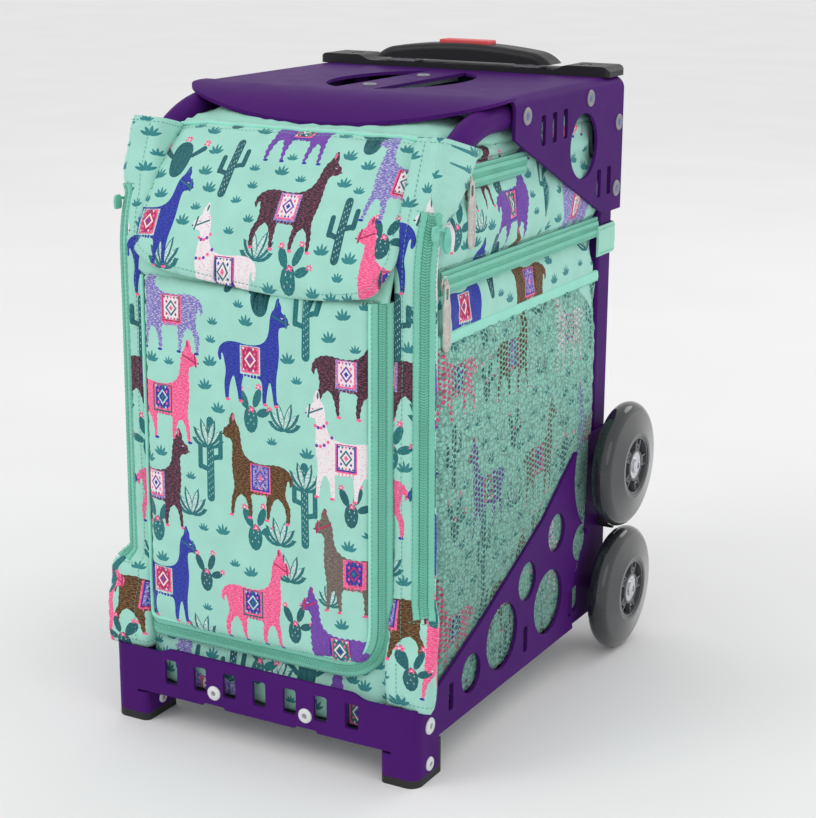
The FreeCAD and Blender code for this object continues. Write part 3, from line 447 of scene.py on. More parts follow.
def sweep(parts, line, section, pick=0, closed=False):
    """Sweep a closed section of (across, up) along a line."""
    p, normals = line
    _, up, side = frames(p, normals, closed)
    s = np.asarray(section, float)
    n, k = len(p), len(s)
    verts = (p[:, None] + side[:, None] * s[None, :, :1] + up[:, None] * s[None, :, 1:]).reshape(-1, 3)
    faces = []
    for i in range(n if closed else n - 1):
        a, b = i * k, (i + 1) % n * k
        faces += [(a + j, a + (j + 1) % k, b + (j + 1) % k, b + j) for j in range(k)]
    if not closed:
        faces += [tuple(range(k))[::-1], tuple((n - 1) * k + j for j in range(k))]
    parts.add(verts, faces, pick, [(d, a) for d in lengths(p) for a in s[:, 0]])


def flat_section(width, thick, crown, low):
    """Section of a flat tape, a little thicker in its middle."""
    w = width / 2
    top = [(-w, thick * 0.5), (-w * 0.85, thick), (0, thick + crown), (w * 0.85, thick), (w, thick * 0.5)]
    return top + [(w, low), (-w, low)]


def round_section(radius, count=8, rise=0.0):
    return [(radius * math.cos(a), rise + radius * math.sin(a)) for a in full_turn(count)]


STITCH_PITCH, STITCH_LENGTH, STITCH_RADIUS, STITCH_LIFT = 3.4, 2.3, 0.26, 0.12


def stitches(parts, line, pick=1):
    """A row of small stitches along a line."""
    p = resample(np.hstack(line), STITCH_PITCH)
    t, up, side = frames(p[:, :3], p[:, 3:])
    c = p[:, :3] + up * STITCH_LIFT
    ring = [(-0.5, 0, 0.1), (-0.3, 1, 0.3), (-0.3, -1, 0.3), (-0.3, 0, 1.2), (0.3, 1, 0.3), (0.3, -1, 0.3),
            (0.3, 0, 1.2), (0.5, 0, 0.1)]
    faces = [(0, 1, 3), (0, 3, 2), (1, 4, 6, 3), (3, 6, 5, 2), (4, 7, 6), (6, 7, 5), (0, 2, 1), (1, 2, 5, 4),
             (4, 5, 7)]
    for i in range(len(c) - 1):
        parts.add([c[i] + t[i] * a * STITCH_LENGTH + side[i] * b * STITCH_RADIUS + up[i] * h * STITCH_RADIUS
                   for a, b, h in ring], faces, pick)


def teeth(parts, line, half, height, lift, pick, lean=0.9, pitch=1.7, sides=(-1, 1)):
    """The chevron coils of a zip chain along a line."""
    p = resample(np.hstack(line), pitch)
    t, up, side = frames(p[:, :3], p[:, 3:])
    for i in range(len(p)):
        for s in sides:
            a = p[i, :3] + up[i] * lift + side[i] * s * 0.15
            b = a + side[i] * s * half + t[i] * lean
            across = t[i] * 0.55
            top = up[i] * height
            verts = [a - across, a + across, b + across, b - across,
                     a - across * 0.5 + top, a + across * 0.5 + top, b + across * 0.4 + top * 0.8,
                     b - across * 0.4 + top * 0.8]
            faces = [(4, 5, 6, 7), (0, 1, 5, 4), (1, 2, 6, 5), (2, 3, 7, 6), (3, 0, 4, 7), (3, 2, 1, 0)]
            if s > 0:
                faces = [f[::-1] for f in faces]
            parts.add(verts, faces, pick)


def lathe(parts, profile, centre, axis, pick=0, segments=48):
    """Turn a closed (along, radius) profile round an axis through centre."""
    axis = unit(np.asarray(axis, float))
    other = np.array([0, 0, 1.0]) if abs(axis[2]) < 0.9 else np.array([1.0, 0, 0])
    e1 = unit(np.cross(axis, other))
    e2 = np.cross(axis, e1)
    k = len(profile)
    verts, faces = [], []
    for i in range(segments):
        ang = 2 * math.pi * i / segments
        radial = e1 * math.cos(ang) + e2 * math.sin(ang)
        verts += [np.asarray(centre) + axis * a + radial * max(r, 0.0) for a, r in profile]
        for j in range(k):
            a, b = i * k, (i + 1) % segments * k
            faces.append((a + j, b + j, b + (j + 1) % k, a + (j + 1) % k))
    parts.add(verts, faces, pick)


# ---- cloth ----
SIM_SCALE, SIM_FRAMES = 10, 20           # cloth is simulated at ten times its size


def relaxed(width, height, pins, seed, grow, cap, spacing=7.0, stiff=12.0):
    """Cloth simulation of a flat panel whose pinned lines stay put and whose cloth is a little too big.

    pins(u, v) gives 0 to 1, grow is how much too big the cloth is, and cap is the most that it moves. The
    result maps flat millimetres to (slip u, slip v, rise) in millimetres.
    """
    nu, nv = max(5, int(width / spacing) + 1), max(5, int(height / spacing) + 1)
    us, vs = np.linspace(0, width, nu), np.linspace(0, height, nv)
    flat = np.array([(u, v, 0.0) for v in vs for u in us])
    rand = random.Random(seed)
    waves = [(rand.uniform(0.01, 0.05), rand.uniform(0.01, 0.05), rand.uniform(0, 6.28)) for _ in range(6)]
    start = flat.copy()
    for a, b, c in waves:
        start[:, 2] += 0.35 * np.sin(flat[:, 0] * a * 3 + flat[:, 1] * b * 3 + c)
    hold = np.array([pins(u, v) for u, v, _ in flat])
    start[:, 2] *= 1 - hold
    faces = [(j * nu + i, j * nu + i + 1, (j + 1) * nu + i + 1, (j + 1) * nu + i)
             for j in range(nv - 1) for i in range(nu - 1)]
    obj = add_mesh("cloth_run", start * SIM_SCALE, faces, [], mm=False)
    obj.data.transform(Matrix.Scale(MM, 4))
    group = obj.vertex_groups.new(name="pin")
    for i, h in enumerate(hold):
        if h > 0:
            group.add([i], float(h), "REPLACE")
    cloth = obj.modifiers.new("cloth", "CLOTH")
    s = cloth.settings
    s.quality = 6
    s.mass = 0.25
    s.tension_stiffness = s.compression_stiffness = stiff
    s.shear_stiffness = stiff * 0.6
    s.bending_stiffness = 0.6
    s.air_damping = 4.0
    s.vertex_group_mass = "pin"
    s.pin_stiffness = 1.0
    s.shrink_min = s.shrink_max = -grow
    s.effector_weights.gravity = 1.0
    scene = bpy.context.scene
    gravity = tuple(scene.gravity)
    scene.gravity = (0, 0, 9.81)
    for f in range(1, SIM_FRAMES + 1):
        scene.frame_set(f)
    ready = obj.evaluated_get(bpy.context.evaluated_depsgraph_get())
    done = np.empty(len(flat) * 3)
    ready.data.vertices.foreach_get("co", done)
    done = done.reshape(-1, 3) / (SIM_SCALE * MM)
    scene.frame_set(1)
    scene.gravity = gravity
    bpy.data.objects.remove(obj)
    change = done - flat
    reach = np.maximum(np.linalg.norm(change, axis=1, keepdims=True), 1e-6)
    change *= np.tanh(reach / cap) * cap / reach
    return Lattice(us, vs, change.reshape(nv, nu, 3))


class Lattice:
    """Smooth values between the points of a regular grid."""

    def __init__(self, us, vs, values):
        self.us, self.vs, self.values = us, vs, values

    def at(self, u, v):
        """Catmull-Rom interpolation; u and v are arrays."""
        def place(x, axis):
            t = np.clip((x - axis[0]) / (axis[1] - axis[0]), 0, len(axis) - 1.0001)
            i = np.floor(t).astype(int)
            f = t - i
            w = np.stack([-0.5 * f + f ** 2 - 0.5 * f ** 3, 1 - 2.5 * f ** 2 + 1.5 * f ** 3,
                          0.5 * f + 2 * f ** 2 - 1.5 * f ** 3, -0.5 * f ** 2 + 0.5 * f ** 3], axis=1)
            return np.clip(i[:, None] + np.arange(-1, 3), 0, len(axis) - 1), w
        iu, wu = place(np.asarray(u, float), self.us)
        iv, wv = place(np.asarray(v, float), self.vs)
        grid = self.values[iv[:, :, None], iu[:, None, :]]
        return np.einsum("nj,ni,njik->nk", wv, wu, grid)


def border_pins(width, height, edge=9.0, lines=(), hold=1.0):
    """Pins along the border, and along lines of constant v given as (v, strength)."""
    def pins(u, v):
        d = min(u, v, width - u, height - v)
        p = hold if d < edge * 0.6 else 0.0
        for level, strength in lines:
            if abs(v - level) < 5.0:
                p = max(p, strength)
        return p
    return pins


class Surface:
    """A fabric shape: flat (u, v) in millimetres to a point in front millimetres, with a cloth lattice."""

    def __init__(self, base, out, lattice=None, origin=(0, 0), limit=None):
        self.base, self.out, self.lattice, self.origin, self.limit = base, out, lattice, origin, limit

    def points(self, u, v):
        u, v = np.asarray(u, float), np.asarray(v, float)
        p, n = self.base(u, v), self.out(u, v)
        if self.lattice is not None:
            c = self.lattice.at(u - self.origin[0], v - self.origin[1])
            rise = c[:, 2]
            if self.limit is not None:
                rise = np.minimum(rise, self.limit(u, v))
            p = p + n * rise[:, None]
        return p

    def both(self, u, v):
        """Points and unit normals."""
        u, v = np.asarray(u, float), np.asarray(v, float)
        e = 0.8
        du = self.points(u + e, v) - self.points(u - e, v)
        dv = self.points(u, v + e) - self.points(u, v - e)
        n = unit(np.cross(du, dv))
        flip = np.sign(np.sum(n * self.out(u, v), axis=1, keepdims=True))
        return self.points(u, v), n * np.where(flip == 0, 1, flip)

    def line(self, flat, step=3.0, lift=0.0):
        """A line drawn on the surface: points and normals."""
        f = resample(flat, step)
        p, n = self.both(f[:, 0], f[:, 1])
        return p + n * lift, n


def signed_area(loop):
    """Twice the area of a closed loop, above 0 where it runs anticlockwise."""
    return np.sum(loop[:, 0] * np.roll(loop[:, 1], -1) - loop[:, 1] * np.roll(loop[:, 0], -1))


def skin(name, surface, outline, prints, table, thick, step, body="frame", back=None):
    """A printed cloth panel. prints is a list of (ink, loop) in flat millimetres, lowest first."""
    loop = resample(list(outline) + [outline[0]], step)[:-1]
    if signed_area(loop) < 0:
        loop = loop[::-1]
    lo, hi = loop.min(axis=0), loop.max(axis=0)
    grid = [(u, v) for v in np.arange(lo[1] + step / 2, hi[1], step)
            for u in np.arange(lo[0] + step / 2 + (step / 2 if int((v - lo[1]) / step) % 2 else 0), hi[0], step)]
    coords = [Vector(p) for p in loop] + [Vector(p) for p in grid]
    faces = [list(range(len(loop)))]
    names = ["mint"]
    for ink, shape in prints:
        s = np.asarray(shape, float)
        if (s.max(axis=0) < lo).any() or (s.min(axis=0) > hi).any():
            continue
        faces.append(list(range(len(coords), len(coords) + len(s))))
        coords += [Vector(p) for p in (s if signed_area(s) > 0 else s[::-1])]
        names.append(ink)
    points, _, cut, _, _, owned = geometry.delaunay_2d_cdt(coords, [], faces, 0, 1e-4)
    flat = np.array([tuple(v) for v in points])
    used = sorted(set(names))
    tris, picks = [], []
    for tri, owners in zip(cut, owned):
        if 0 in owners:
            a, b, c = (flat[i] for i in tri[:3])
            turn = (b[0] - a[0]) * (c[1] - a[1]) - (b[1] - a[1]) * (c[0] - a[0])
            tris.append(tuple(tri) if turn > 0 else tuple(tri)[::-1])
            picks.append(used.index(names[max(owners)]))
    keep = sorted({i for t in tris for i in t})
    index = {old: new for new, old in enumerate(keep)}
    flat = flat[keep]
    tris = [tuple(index[i] for i in t) for t in tris]
    p, n = surface.both(flat[:, 0], flat[:, 1])
    a, b, c = (p[[t[k] for t in tris]] for k in range(3))
    if np.sum(np.cross(b - a, c - a) * n[[t[0] for t in tris]]) <= 0:      # the skin faces inwards
        tris = [t[::-1] for t in tris]
    count = len(p)
    inner = p - n * thick
    edges = dict.fromkeys((i, j) for t in tris for i, j in zip(t, t[1:] + t[:1]))
    rim = [(i, j) for i, j in edges if (j, i) not in edges]
    faces = (list(tris) + [tuple(i + count for i in t[::-1]) for t in tris]
             + [(j, i, i + count, j + count) for i, j in rim])
    picks = picks + [len(used)] * (len(tris) + len(rim))
    obj = add_mesh(name, np.vstack([p, inner]), faces, [table[u] for u in used] + [back or lining], picks,
                   np.vstack([flat, flat]))
    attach(obj, body)
    return obj


# ---- printed motifs, in millimetres, feet or base at (0, 0) ----
def rounded_loop(points, rounds=2):
    """Cut the corners of a closed loop."""
    p = np.asarray(points, float)
    for _ in range(rounds):
        q = np.roll(p, -1, 0)
        p = np.stack([p * 0.75 + q * 0.25, p * 0.25 + q * 0.75], axis=1).reshape(-1, 2)
    return p


def oval(x, y, rx, ry=None, turn=0.0, count=12):
    a = full_turn(count)
    ry = rx if ry is None else ry
    p = np.stack([rx * np.cos(a), ry * np.sin(a)], axis=1)
    c, s = math.cos(turn), math.sin(turn)
    return p @ np.array([[c, s], [-s, c]]) + [x, y]


def limb(x0, y0, x1, y1, r0, r1, count=6):
    """A rounded bar between two points."""
    d = unit(np.array([x1 - x0, y1 - y0], float))
    base = math.atan2(d[1], d[0])
    tip = [(x1 + r1 * math.cos(base + a), y1 + r1 * math.sin(base + a)) for a in np.linspace(-1.57, 1.57, count)]
    foot = [(x0 + r0 * math.cos(base + a), y0 + r0 * math.sin(base + a)) for a in np.linspace(1.57, 4.71, count)]
    return np.array(tip + foot)


def leaf(x, y, length, width, turn):
    """A pointed leaf growing from (x, y); turn is from upright, in radians."""
    side = [(0, 0), (0.30, 0.16), (0.5, 0.45), (0.38, 0.75), (0, 1)]
    p = np.array([(a * width, b * length) for a, b in side] + [(-a * width, b * length) for a, b in side[-2:0:-1]])
    c, s = math.cos(turn), math.sin(turn)
    return p @ np.array([[c, -s], [s, c]]) + [x, y]


def woolly(loop, size=0.75, pitch=2.3):
    """Scallops along a closed outline."""
    p = resample(list(loop) + [loop[0]], pitch)[:-1]
    t = unit(np.roll(p, -1, 0) - np.roll(p, 1, 0))
    n = np.stack([t[:, 1], -t[:, 0]], axis=1)
    return p + n * np.where(np.arange(len(p)) % 2 == 0, size, -size * 0.4)[:, None]


def blanket(x, low, high, width, trim, ground, marks):
    """A saddle cloth: border, row of small triangles, a diamond and a zigzag band, and a fringe."""
    x0, x1 = x - width / 2, x + width / 2

    def block(a, b, c, d):
        return np.array([(a, c), (b, c), (b, d), (a, d)])

    def diamond(cx, cy, w, h):
        return np.array([(cx, cy - h), (cx + w, cy), (cx, cy + h), (cx - w, cy)])
    out = [(trim, block(x0, x1, low, high)), (marks[0], block(x0 + 1.1, x1 - 1.1, low + 1.2, high - 0.5)),
           (ground, block(x0 + 2.3, x1 - 2.3, low + 2.4, high - 0.9))]
    cy, h, w = (low + high) / 2 + 0.6, (high - low) / 2 - 4.2, width / 2 - 3.6
    out.append((marks[1], diamond(x, cy, w, h)))
    out.append((ground, diamond(x, cy, w * 0.68, h * 0.68)))
    out.append((marks[2], diamond(x, cy, w * 0.36, h * 0.36)))
    for i in range(5):
        t = x0 + 3.0 + i * (width - 6) / 4
        for y, up in ((low + 2.6, 1), (high - 1.3, -1)):
            out.append((marks[i % 3], np.array([(t - 1.1, y), (t + 1.1, y), (t, y + 2.0 * up)])))
        out.append((trim, limb(t, low + 0.3, t, low - 2.2, 0.35, 0.3, 3)))
    for sx in (-1, 1):
        for sy in (-1, 1):
            out.append((marks[0], diamond(x + sx * w * 0.78, cy + sy * h * 0.72, 1.0, 1.4)))
    return out


def llama(coat, hoof, trim, ground, marks, beads=(), halter=None, stride=0.0, wool=0.0):
    """A llama looking left, about 60 wide and 78 tall; stride spreads its legs."""
    s = stride
    body = [(-27.5, 61.5), (-26.5, 64.5), (-23.5, 66.5), (-20.5, 69.5), (-19.8, 77.5), (-17.4, 77.0), (-16.4, 70),
            (-13.8, 67.5), (-12.3, 62), (-11.8, 54), (-9.8, 47.5), (-4.5, 43.2), (6, 41.8), (17, 43.6), (25, 42.6),
            (30.2, 38.5), (31.8, 32.5), (30, 28), (28.2, 29.2), (28.6, 34.2), (27, 33.5), (25.6, 27), (24.6, 21),
            (26.2 + s, 14), (26 + s, 7), (25.2 + s, 0.6), (22.6 + s, 0.6), (22.2 + s, 8), (20.8 + s, 14.5), (18, 20),
            (16.5 - s, 14), (14.8 - s, 7), (14 - s, 0.6), (11.4 - s, 0.6), (11.8 - s, 8), (11.3 - s, 14.5),
            (9.5, 20.2), (2, 18.6), (-5, 19.4), (-6.2 + s, 13), (-6 + s, 6), (-6.4 + s, 0.6), (-9 + s, 0.6),
            (-9.6 + s, 7), (-10.8 + s, 14), (-12.5, 18.5), (-14 - s, 13), (-15 - s, 6), (-15.8 - s, 0.6),
            (-18.4 - s, 0.6), (-18 - s, 7), (-17.6 - s, 14), (-17.8, 22), (-19.4, 31), (-20.2, 40), (-19.4, 50),
            (-19.6, 56.5), (-22.5, 57.6), (-26.5, 57.8)]
    shape = rounded_loop(body)
    out = [(coat, woolly(shape, wool) if wool else shape)]
    out.append((coat, leaf(-21.2, 67.5, 9.5, 3.4, 0.3)))
    out.append((halter or "pink", leaf(-18.4, 70.5, 5.6, 1.7, 0.05)))
    feet = (24 + s, 12.9 - s, -7.6 + s, -17 - s)
    out += [(hoof, oval(x - 0.7, 1.1, 2.1, 1.1, count=8)) for x in feet]
    out.append(("ink", oval(-27.5, 60.2, 0.9, 0.6, count=6)))
    out.append(("white" if coat in ("navy", "brown", "purple", "ink") else "ink",
                rounded_loop([(-23.6, 64.4), (-22.2, 63.6), (-20.6, 64.6), (-22.2, 62.9)], 1)))
    out += blanket(4, 21, 41.5, 17, trim, ground, marks)
    if halter:
        out.append((halter, limb(-25.6, 57.5, -24.4, 66.5, 0.7, 0.7, 3)))
        out.append((halter, limb(-25.2, 60.2, -14.5, 65.0, 0.6, 0.6, 3)))
    for level, (x0, y0, x1, y1) in enumerate(beads):
        for i, t in enumerate(np.linspace(0, 1, 5)):
            sag = -2.6 * math.sin(math.pi * t)
            ink = ("pink", "purple")[(i + level) % 2]
            out.append((ink, oval(x0 + (x1 - x0) * t, y0 + (y1 - y0) * t + sag, 1.35, count=7)))
    return out


def saguaro(height, ink="teal"):
    """A tall cactus with two arms and small marks."""
    h = height
    out = [(ink, limb(0, 2, 0, h - 3, 3.2, 3.0))]
    for x, low, top in ((-8.5, 0.36, 0.66), (8.5, 0.50, 0.80)):
        out.append((ink, limb(0, h * low, x, h * low + 2.5, 1.9, 1.9)))
        out.append((ink, limb(x, h * low + 2.0, x, h * top, 2.0, 1.9)))
    for i in range(int(h / 5)):
        for x in (-1.5, 0.2, 1.7):
            y = 3.5 + i * 4.6 + (x * 0.9)
            if y < h - 3:
                out.append(("sage", np.array([(x - 0.35, y), (x + 0.35, y), (x, y + 1.6)])))
    return out


def barrel():
    """A round cactus with ribs, arms and flowers."""
    height, ink = 30.0, "dark_teal"
    w = height * 0.28
    out = [(ink, rounded_loop([(-w * 0.6, 0), (-w, height * 0.5), (-w * 0.8, height * 0.9), (0, height),
                               (w * 0.8, height * 0.9), (w, height * 0.5), (w * 0.6, 0)]))]
    for k in (-0.6, -0.2, 0.2, 0.6):
        out.append(("teal", limb(k * w, height * 0.1, k * w * 1.1, height * 0.86, 0.35, 0.35, 3)))
    out.append((ink, limb(-w, height * 0.55, -w * 1.9, height * 0.75, 1.7, 2.3)))
    out.append((ink, limb(w, height * 0.62, w * 1.9, height * 0.84, 1.7, 2.3)))
    for x, y in ((-w * 2.0, height * 0.88), (w * 2.0, height * 0.98), (0, height + 1.5)):
        out += flower(x, y)
    return out


def flower(x, y, size=2.2):
    out = [("pink", oval(x + size * 0.8 * math.cos(a), y + size * 0.8 * math.sin(a), size * 0.62, size * 0.4, a, 6))
           for a in (0.3, 1.3, 2.3, 3.6, 5.6)]
    return out + [("white", oval(x, y, size * 0.35, count=5))]


def prickly(size=1.0, ink="teal"):
    """A prickly pear with flowers on its pads."""
    s = size
    out = [(ink, oval(0, 9 * s, 6 * s, 10 * s))]
    for x, y, rx, ry, turn in ((-6, 23, 3.4, 7.5, 0.45), (5.5, 25, 3.2, 7.5, -0.35), (10.5, 15, 5.8, 3.2, 0.35)):
        out.append((ink, oval(x * s, y * s, rx * s, ry * s, turn, 10)))
    for x, y in ((-8.8, 30.5), (6.8, 33), (15.8, 18), (0.5, 16)):
        out += flower(x * s, y * s, 2.0 * s)
    for x, y in ((-2.5, 5), (0, 8), (2.5, 5.5), (-1.5, 12), (2.6, 11.5)):
        out.append(("sage", np.array([(x - 0.5, y), (x + 0.5, y), (x, y + 1.7)]) * s))
    return out


def agave(size=1.0):
    """A fan of outlined leaves."""
    out = []
    for turn, length in ((-1.15, 15), (1.15, 15), (-0.72, 19), (0.72, 19), (-0.28, 22), (0.28, 22)):
        out.append(("teal", leaf(0, 0, length * size, 5.6 * size, turn)))
        out.append(("sage", leaf(0, 1.6 * size, (length - 4) * size, 3.3 * size, turn)))
    return out


def tuft(size=1.0):
    """Five slender leaves."""
    return [("pale_teal", leaf(0.5 * k, 0, length * size, width * size, k)) for k, length, width in (
        (-1.0, 6.8, 2.6), (1.0, 6.8, 2.6), (-0.48, 8.0, 2.3), (0.48, 8.0, 2.3), (0, 8.6, 2.0))]


def at(motif, x, y, size=1.0, flip=1, turn=0.0):
    """A motif placed on the cloth."""
    c, s = math.cos(turn), math.sin(turn)
    spin = np.array([[c, s], [-s, c]])
    return [(ink, (loop * [flip * size, size]) @ spin + [x, y]) for ink, loop in motif]


COATS = {
    "navy": llama("navy", "pink", "sage", "rose", ("pink", "white", "purple"), halter="teal"),
    "walker": llama("tan", "pink", "pink", "lilac", ("navy", "purple", "pink"), stride=3.0, wool=0.3),
    "white": llama("white", "pink", "pink", "white", ("navy", "teal", "pink"), halter="teal",
                   beads=((-20, 52, -11, 55), (-19, 38, -7, 45)), stride=1.5),
    "lilac": llama("lilac", "navy", "pink", "white", ("rose", "teal", "pink"), stride=2.0, wool=0.7),
    "purple": llama("purple", "navy", "navy", "teal", ("pink", "white", "navy"), halter="rose", stride=1.0,
                    wool=0.75),
    "rose": llama("pink", "navy", "dark_teal", "navy", ("pink", "sage", "teal"), halter="rose", stride=2.0, wool=0.4),
    "dark": llama("ink", "pink", "lilac", "white", ("pink", "purple", "navy"), stride=2.5, wool=0.4),
    "taupe": llama("taupe", "pink", "pink", "navy", ("pink", "rose", "teal"), halter="rose", stride=0.5, wool=0.5),
}
PLANTS = {
    "saguaro": saguaro(62), "saguaro_small": saguaro(46, "dark_teal"), "barrel": barrel(), "pear": prickly(),
    "pear_dark": prickly(0.9, "dark_teal"), "agave": agave(), "agave_small": agave(0.75), "tuft": tuft(),
    "sprig": tuft(0.72),
}
KINDS = {**COATS, **PLANTS}


SOWING_TRIES, SOWING_CLEAR, REPEAT_PITCH = 900, 7.0, 92.0


def printed(placed, lo, hi, seed, spacing=13.0):
    """Listed motifs (kind, x, y[, flip[, size]]), with tufts sown in the cloth left between them."""
    rand = random.Random(seed)
    out, taken = [], []
    for kind, x, y, *more in placed:
        flip, size = (list(more) + [1, 1.0][len(more):])[:2]
        shapes = at(KINDS[kind], x, y, size, flip)
        out += shapes
        for _, loop in shapes:
            taken += [tuple(p) for p in loop[::2]] + [tuple(loop.mean(axis=0))]
    taken, sown = np.array(taken), []
    for _ in range(SOWING_TRIES):
        x, y = rand.uniform(lo[0], hi[0]), rand.uniform(lo[1], hi[1])
        kind = "tuft" if rand.random() < 0.6 else "sprig"
        if np.min(np.linalg.norm(taken - [x, y + 3.5], axis=1)) < SOWING_CLEAR:
            continue
        if any(math.hypot(x - a, y - b) < spacing for a, b in sown):
            continue
        sown.append((x, y))
        out = at(KINDS[kind], x, y, turn=rand.uniform(-0.15, 0.15)) + out
    return out


def repeat(lo, hi, seed):
    """An all-over print for panels that stand away from the front."""
    rand = random.Random(seed)
    coats, plants = list(COATS), ["saguaro", "pear", "agave", "barrel", "saguaro_small", "pear_dark", "agave_small"]
    rand.shuffle(coats)
    placed, n = [], 0
    for j, y in enumerate(np.arange(lo[1] - 60, hi[1], REPEAT_PITCH)):
        for i, x in enumerate(np.arange(lo[0] - 40 + (46 if j % 2 else 0), hi[0] + 40, REPEAT_PITCH)):
            placed.append((coats[n % len(coats)], x, y, 1 if (i + j) % 2 else -1))
            placed.append((plants[n % len(plants)], x + 46, y + 6))
            placed.append((plants[(n + 3) % len(plants)], x + 44, y + 52 if n % 2 else y + 46))
            n += 1
    return printed(placed, lo, hi, seed)


# ---- fabric shapes ----
def inside_distance(outline, u, v):
    """Distance from points to a closed outline."""
    p = np.stack([u, v], axis=1)
    best = np.full(len(p), 1e9)
    for a, b in zip(outline, np.roll(outline, -1, 0)):
        ab = b - a
        t = np.clip(((p - a) @ ab) / max(ab @ ab, 1e-9), 0, 1)
        best = np.minimum(best, np.linalg.norm(p - a - t[:, None] * ab, axis=1))
    return best


def roll(distance, radius):
    """How far a rolled edge has turned away at a distance from the edge."""
    x = 1 - np.clip(distance / radius, 0, 1)
    return radius * (1 - np.sqrt(np.maximum(1 - x * x, 0)))


def pads(value, lines, depth, width):
    """Dents along seams: how much lower the cloth is near each line of constant value."""
    dent = np.zeros_like(value)
    for line in lines:
        dent = dent + depth * np.exp(-((value - line) / width) ** 2)
    return dent


def flat_plane(axis, offset, sign, outline=None, radius=0.0, shape=None):
    """A plane facing sign*axis: flat (u, v) are its other two coordinates in order."""
    others = [k for k in range(3) if k != axis]
    normal = np.zeros(3)
    normal[axis] = sign

    def base(u, v):
        p = np.zeros((len(u), 3))
        p[:, others[0]], p[:, others[1]] = u, v
        height = np.zeros(len(u))
        if radius:
            height = height - roll(inside_distance(outline, u, v), radius)
        if shape is not None:
            height = height + shape(u, v)
        p[:, axis] = offset + sign * height
        return p

    def out(u, v):
        return np.tile(normal, (len(u), 1))
    return base, out


def even(value):
    """The same limit all over a surface."""
    return lambda u, v: np.full(len(u), value)


# ---- front panel ----
LINING_Y, LIP_Y = 16.0, 16.2
DOOR_LEFT, DOOR_RIGHT, DOOR_LOW, DOOR_HIGH, DOOR_FACE = -98.6, 93.0, 79.5, 346.0, 4.6
DOOR_SIZE = (DOOR_RIGHT - DOOR_LEFT, DOOR_HIGH - DOOR_LOW)
door_outline = rounded_outline([(DOOR_LEFT, DOOR_LOW), (DOOR_RIGHT, DOOR_LOW), (DOOR_RIGHT, DOOR_HIGH),
                                (DOOR_LEFT, DOOR_HIGH)], (5, 24, 3, 3))


def door_shape(u, v):
    """The padding stands up between the sewn edges, most in the lower half."""
    across = np.clip(1 - (u / DOOR_RIGHT) ** 4, 0, 1)
    up = fade(v, DOOR_LOW, DOOR_LOW + 60) ** 0.6
    return 1.6 * across * up * fade(v, DOOR_HIGH, DOOR_HIGH - 90) + 0.5 * np.sin(u / 17 + v / 41) * across * up


door_lattice = relaxed(*DOOR_SIZE, border_pins(*DOOR_SIZE), 11, grow=0.012, cap=3.2)
door_surface = Surface(*flat_plane(1, DOOR_FACE, -1, door_outline, 8.0, door_shape), door_lattice,
                       (DOOR_LEFT, DOOR_LOW), even(2.6))
DOOR_PRINT = [
    ("saguaro", -38, 187), ("saguaro_small", -23, 341), ("saguaro", 42, 300), ("saguaro", 41, 165, -1),
    ("barrel", 5, 326), ("pear", -3, 243), ("pear", -1, 156), ("pear_dark", 78, 186), ("pear_dark", -44, 117),
    ("pear_dark", 31, 91), ("pear", -87, 148, -1), ("agave", 25, 247), ("agave", 41, 206), ("agave", 20, 162),
    ("agave", -55, 173), ("agave", -40, 226), ("agave", 28, 136), ("agave_small", 61, 124), ("agave", -50, 76),
    ("lilac", -74, 292), ("navy", 1, 263, -1), ("dark", 78, 262, -1), ("rose", -75, 226, -1),
    ("walker", 0, 178), ("white", 70, 203), ("dark", -84, 160, -1), ("navy", -80, 86, -1), ("rose", 0, 83, -1),
    ("taupe", 76, 120), ("purple", 64, 60),
]
FRONT_PRINT = printed(DOOR_PRINT, (-99, 78), (95, 348), 3)

door_front = skin("front_panel_print", door_surface, door_outline, FRONT_PRINT, inks, 2.2, 5.0, "door")
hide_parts("front_panel")


def door_line(inset, depth, lean=0.72):
    """A line round the side wall of the front panel, inset from the coil line, at a depth.

    Down the left side, round two corners and up the right side, with outward normals; on the left
    the wall is upright and its line lies deeper.
    """
    left, right, low, high = -101.6 + inset * 0.4, 97.0 - inset, 77.0 + inset * 1.3, 344
    corners = [np.array(c, float) for c in ((left, high), (left, low), (right, low), (right, high))]
    flat = resample([corners[0]] + bend(*corners[:3], 6.0, 9) + bend(*corners[1:], (27.0 - inset) * 1.35, 9)
                    + [corners[3]], 2.5)
    t = unit(np.gradient(flat, axis=0))
    out = np.stack([t[:, 1], -t[:, 0]], axis=1)
    wall = np.clip(-out[:, 0], 0, 1)
    floor = fade(-out[:, 1], 0.7, 0.95)
    lean = lean + (0.995 - lean) * wall - (lean - 0.3) * floor
    normal = np.stack([out[:, 0] * lean, -np.sqrt(1 - lean ** 2), out[:, 1] * lean], axis=1)
    back = depth + 3.6 * wall - 0.6 * (depth - 6.4) * floor
    return np.stack([flat[:, 0], back, flat[:, 1]], axis=1), normal


def seam_piece(name, body, node, build, materials, angle=40.0):
    """An object made of swept parts that ride together."""
    parts = Parts()
    build(parts)
    obj = parts.build(name, materials, angle)
    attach(obj, body)
    if node:
        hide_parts(node)


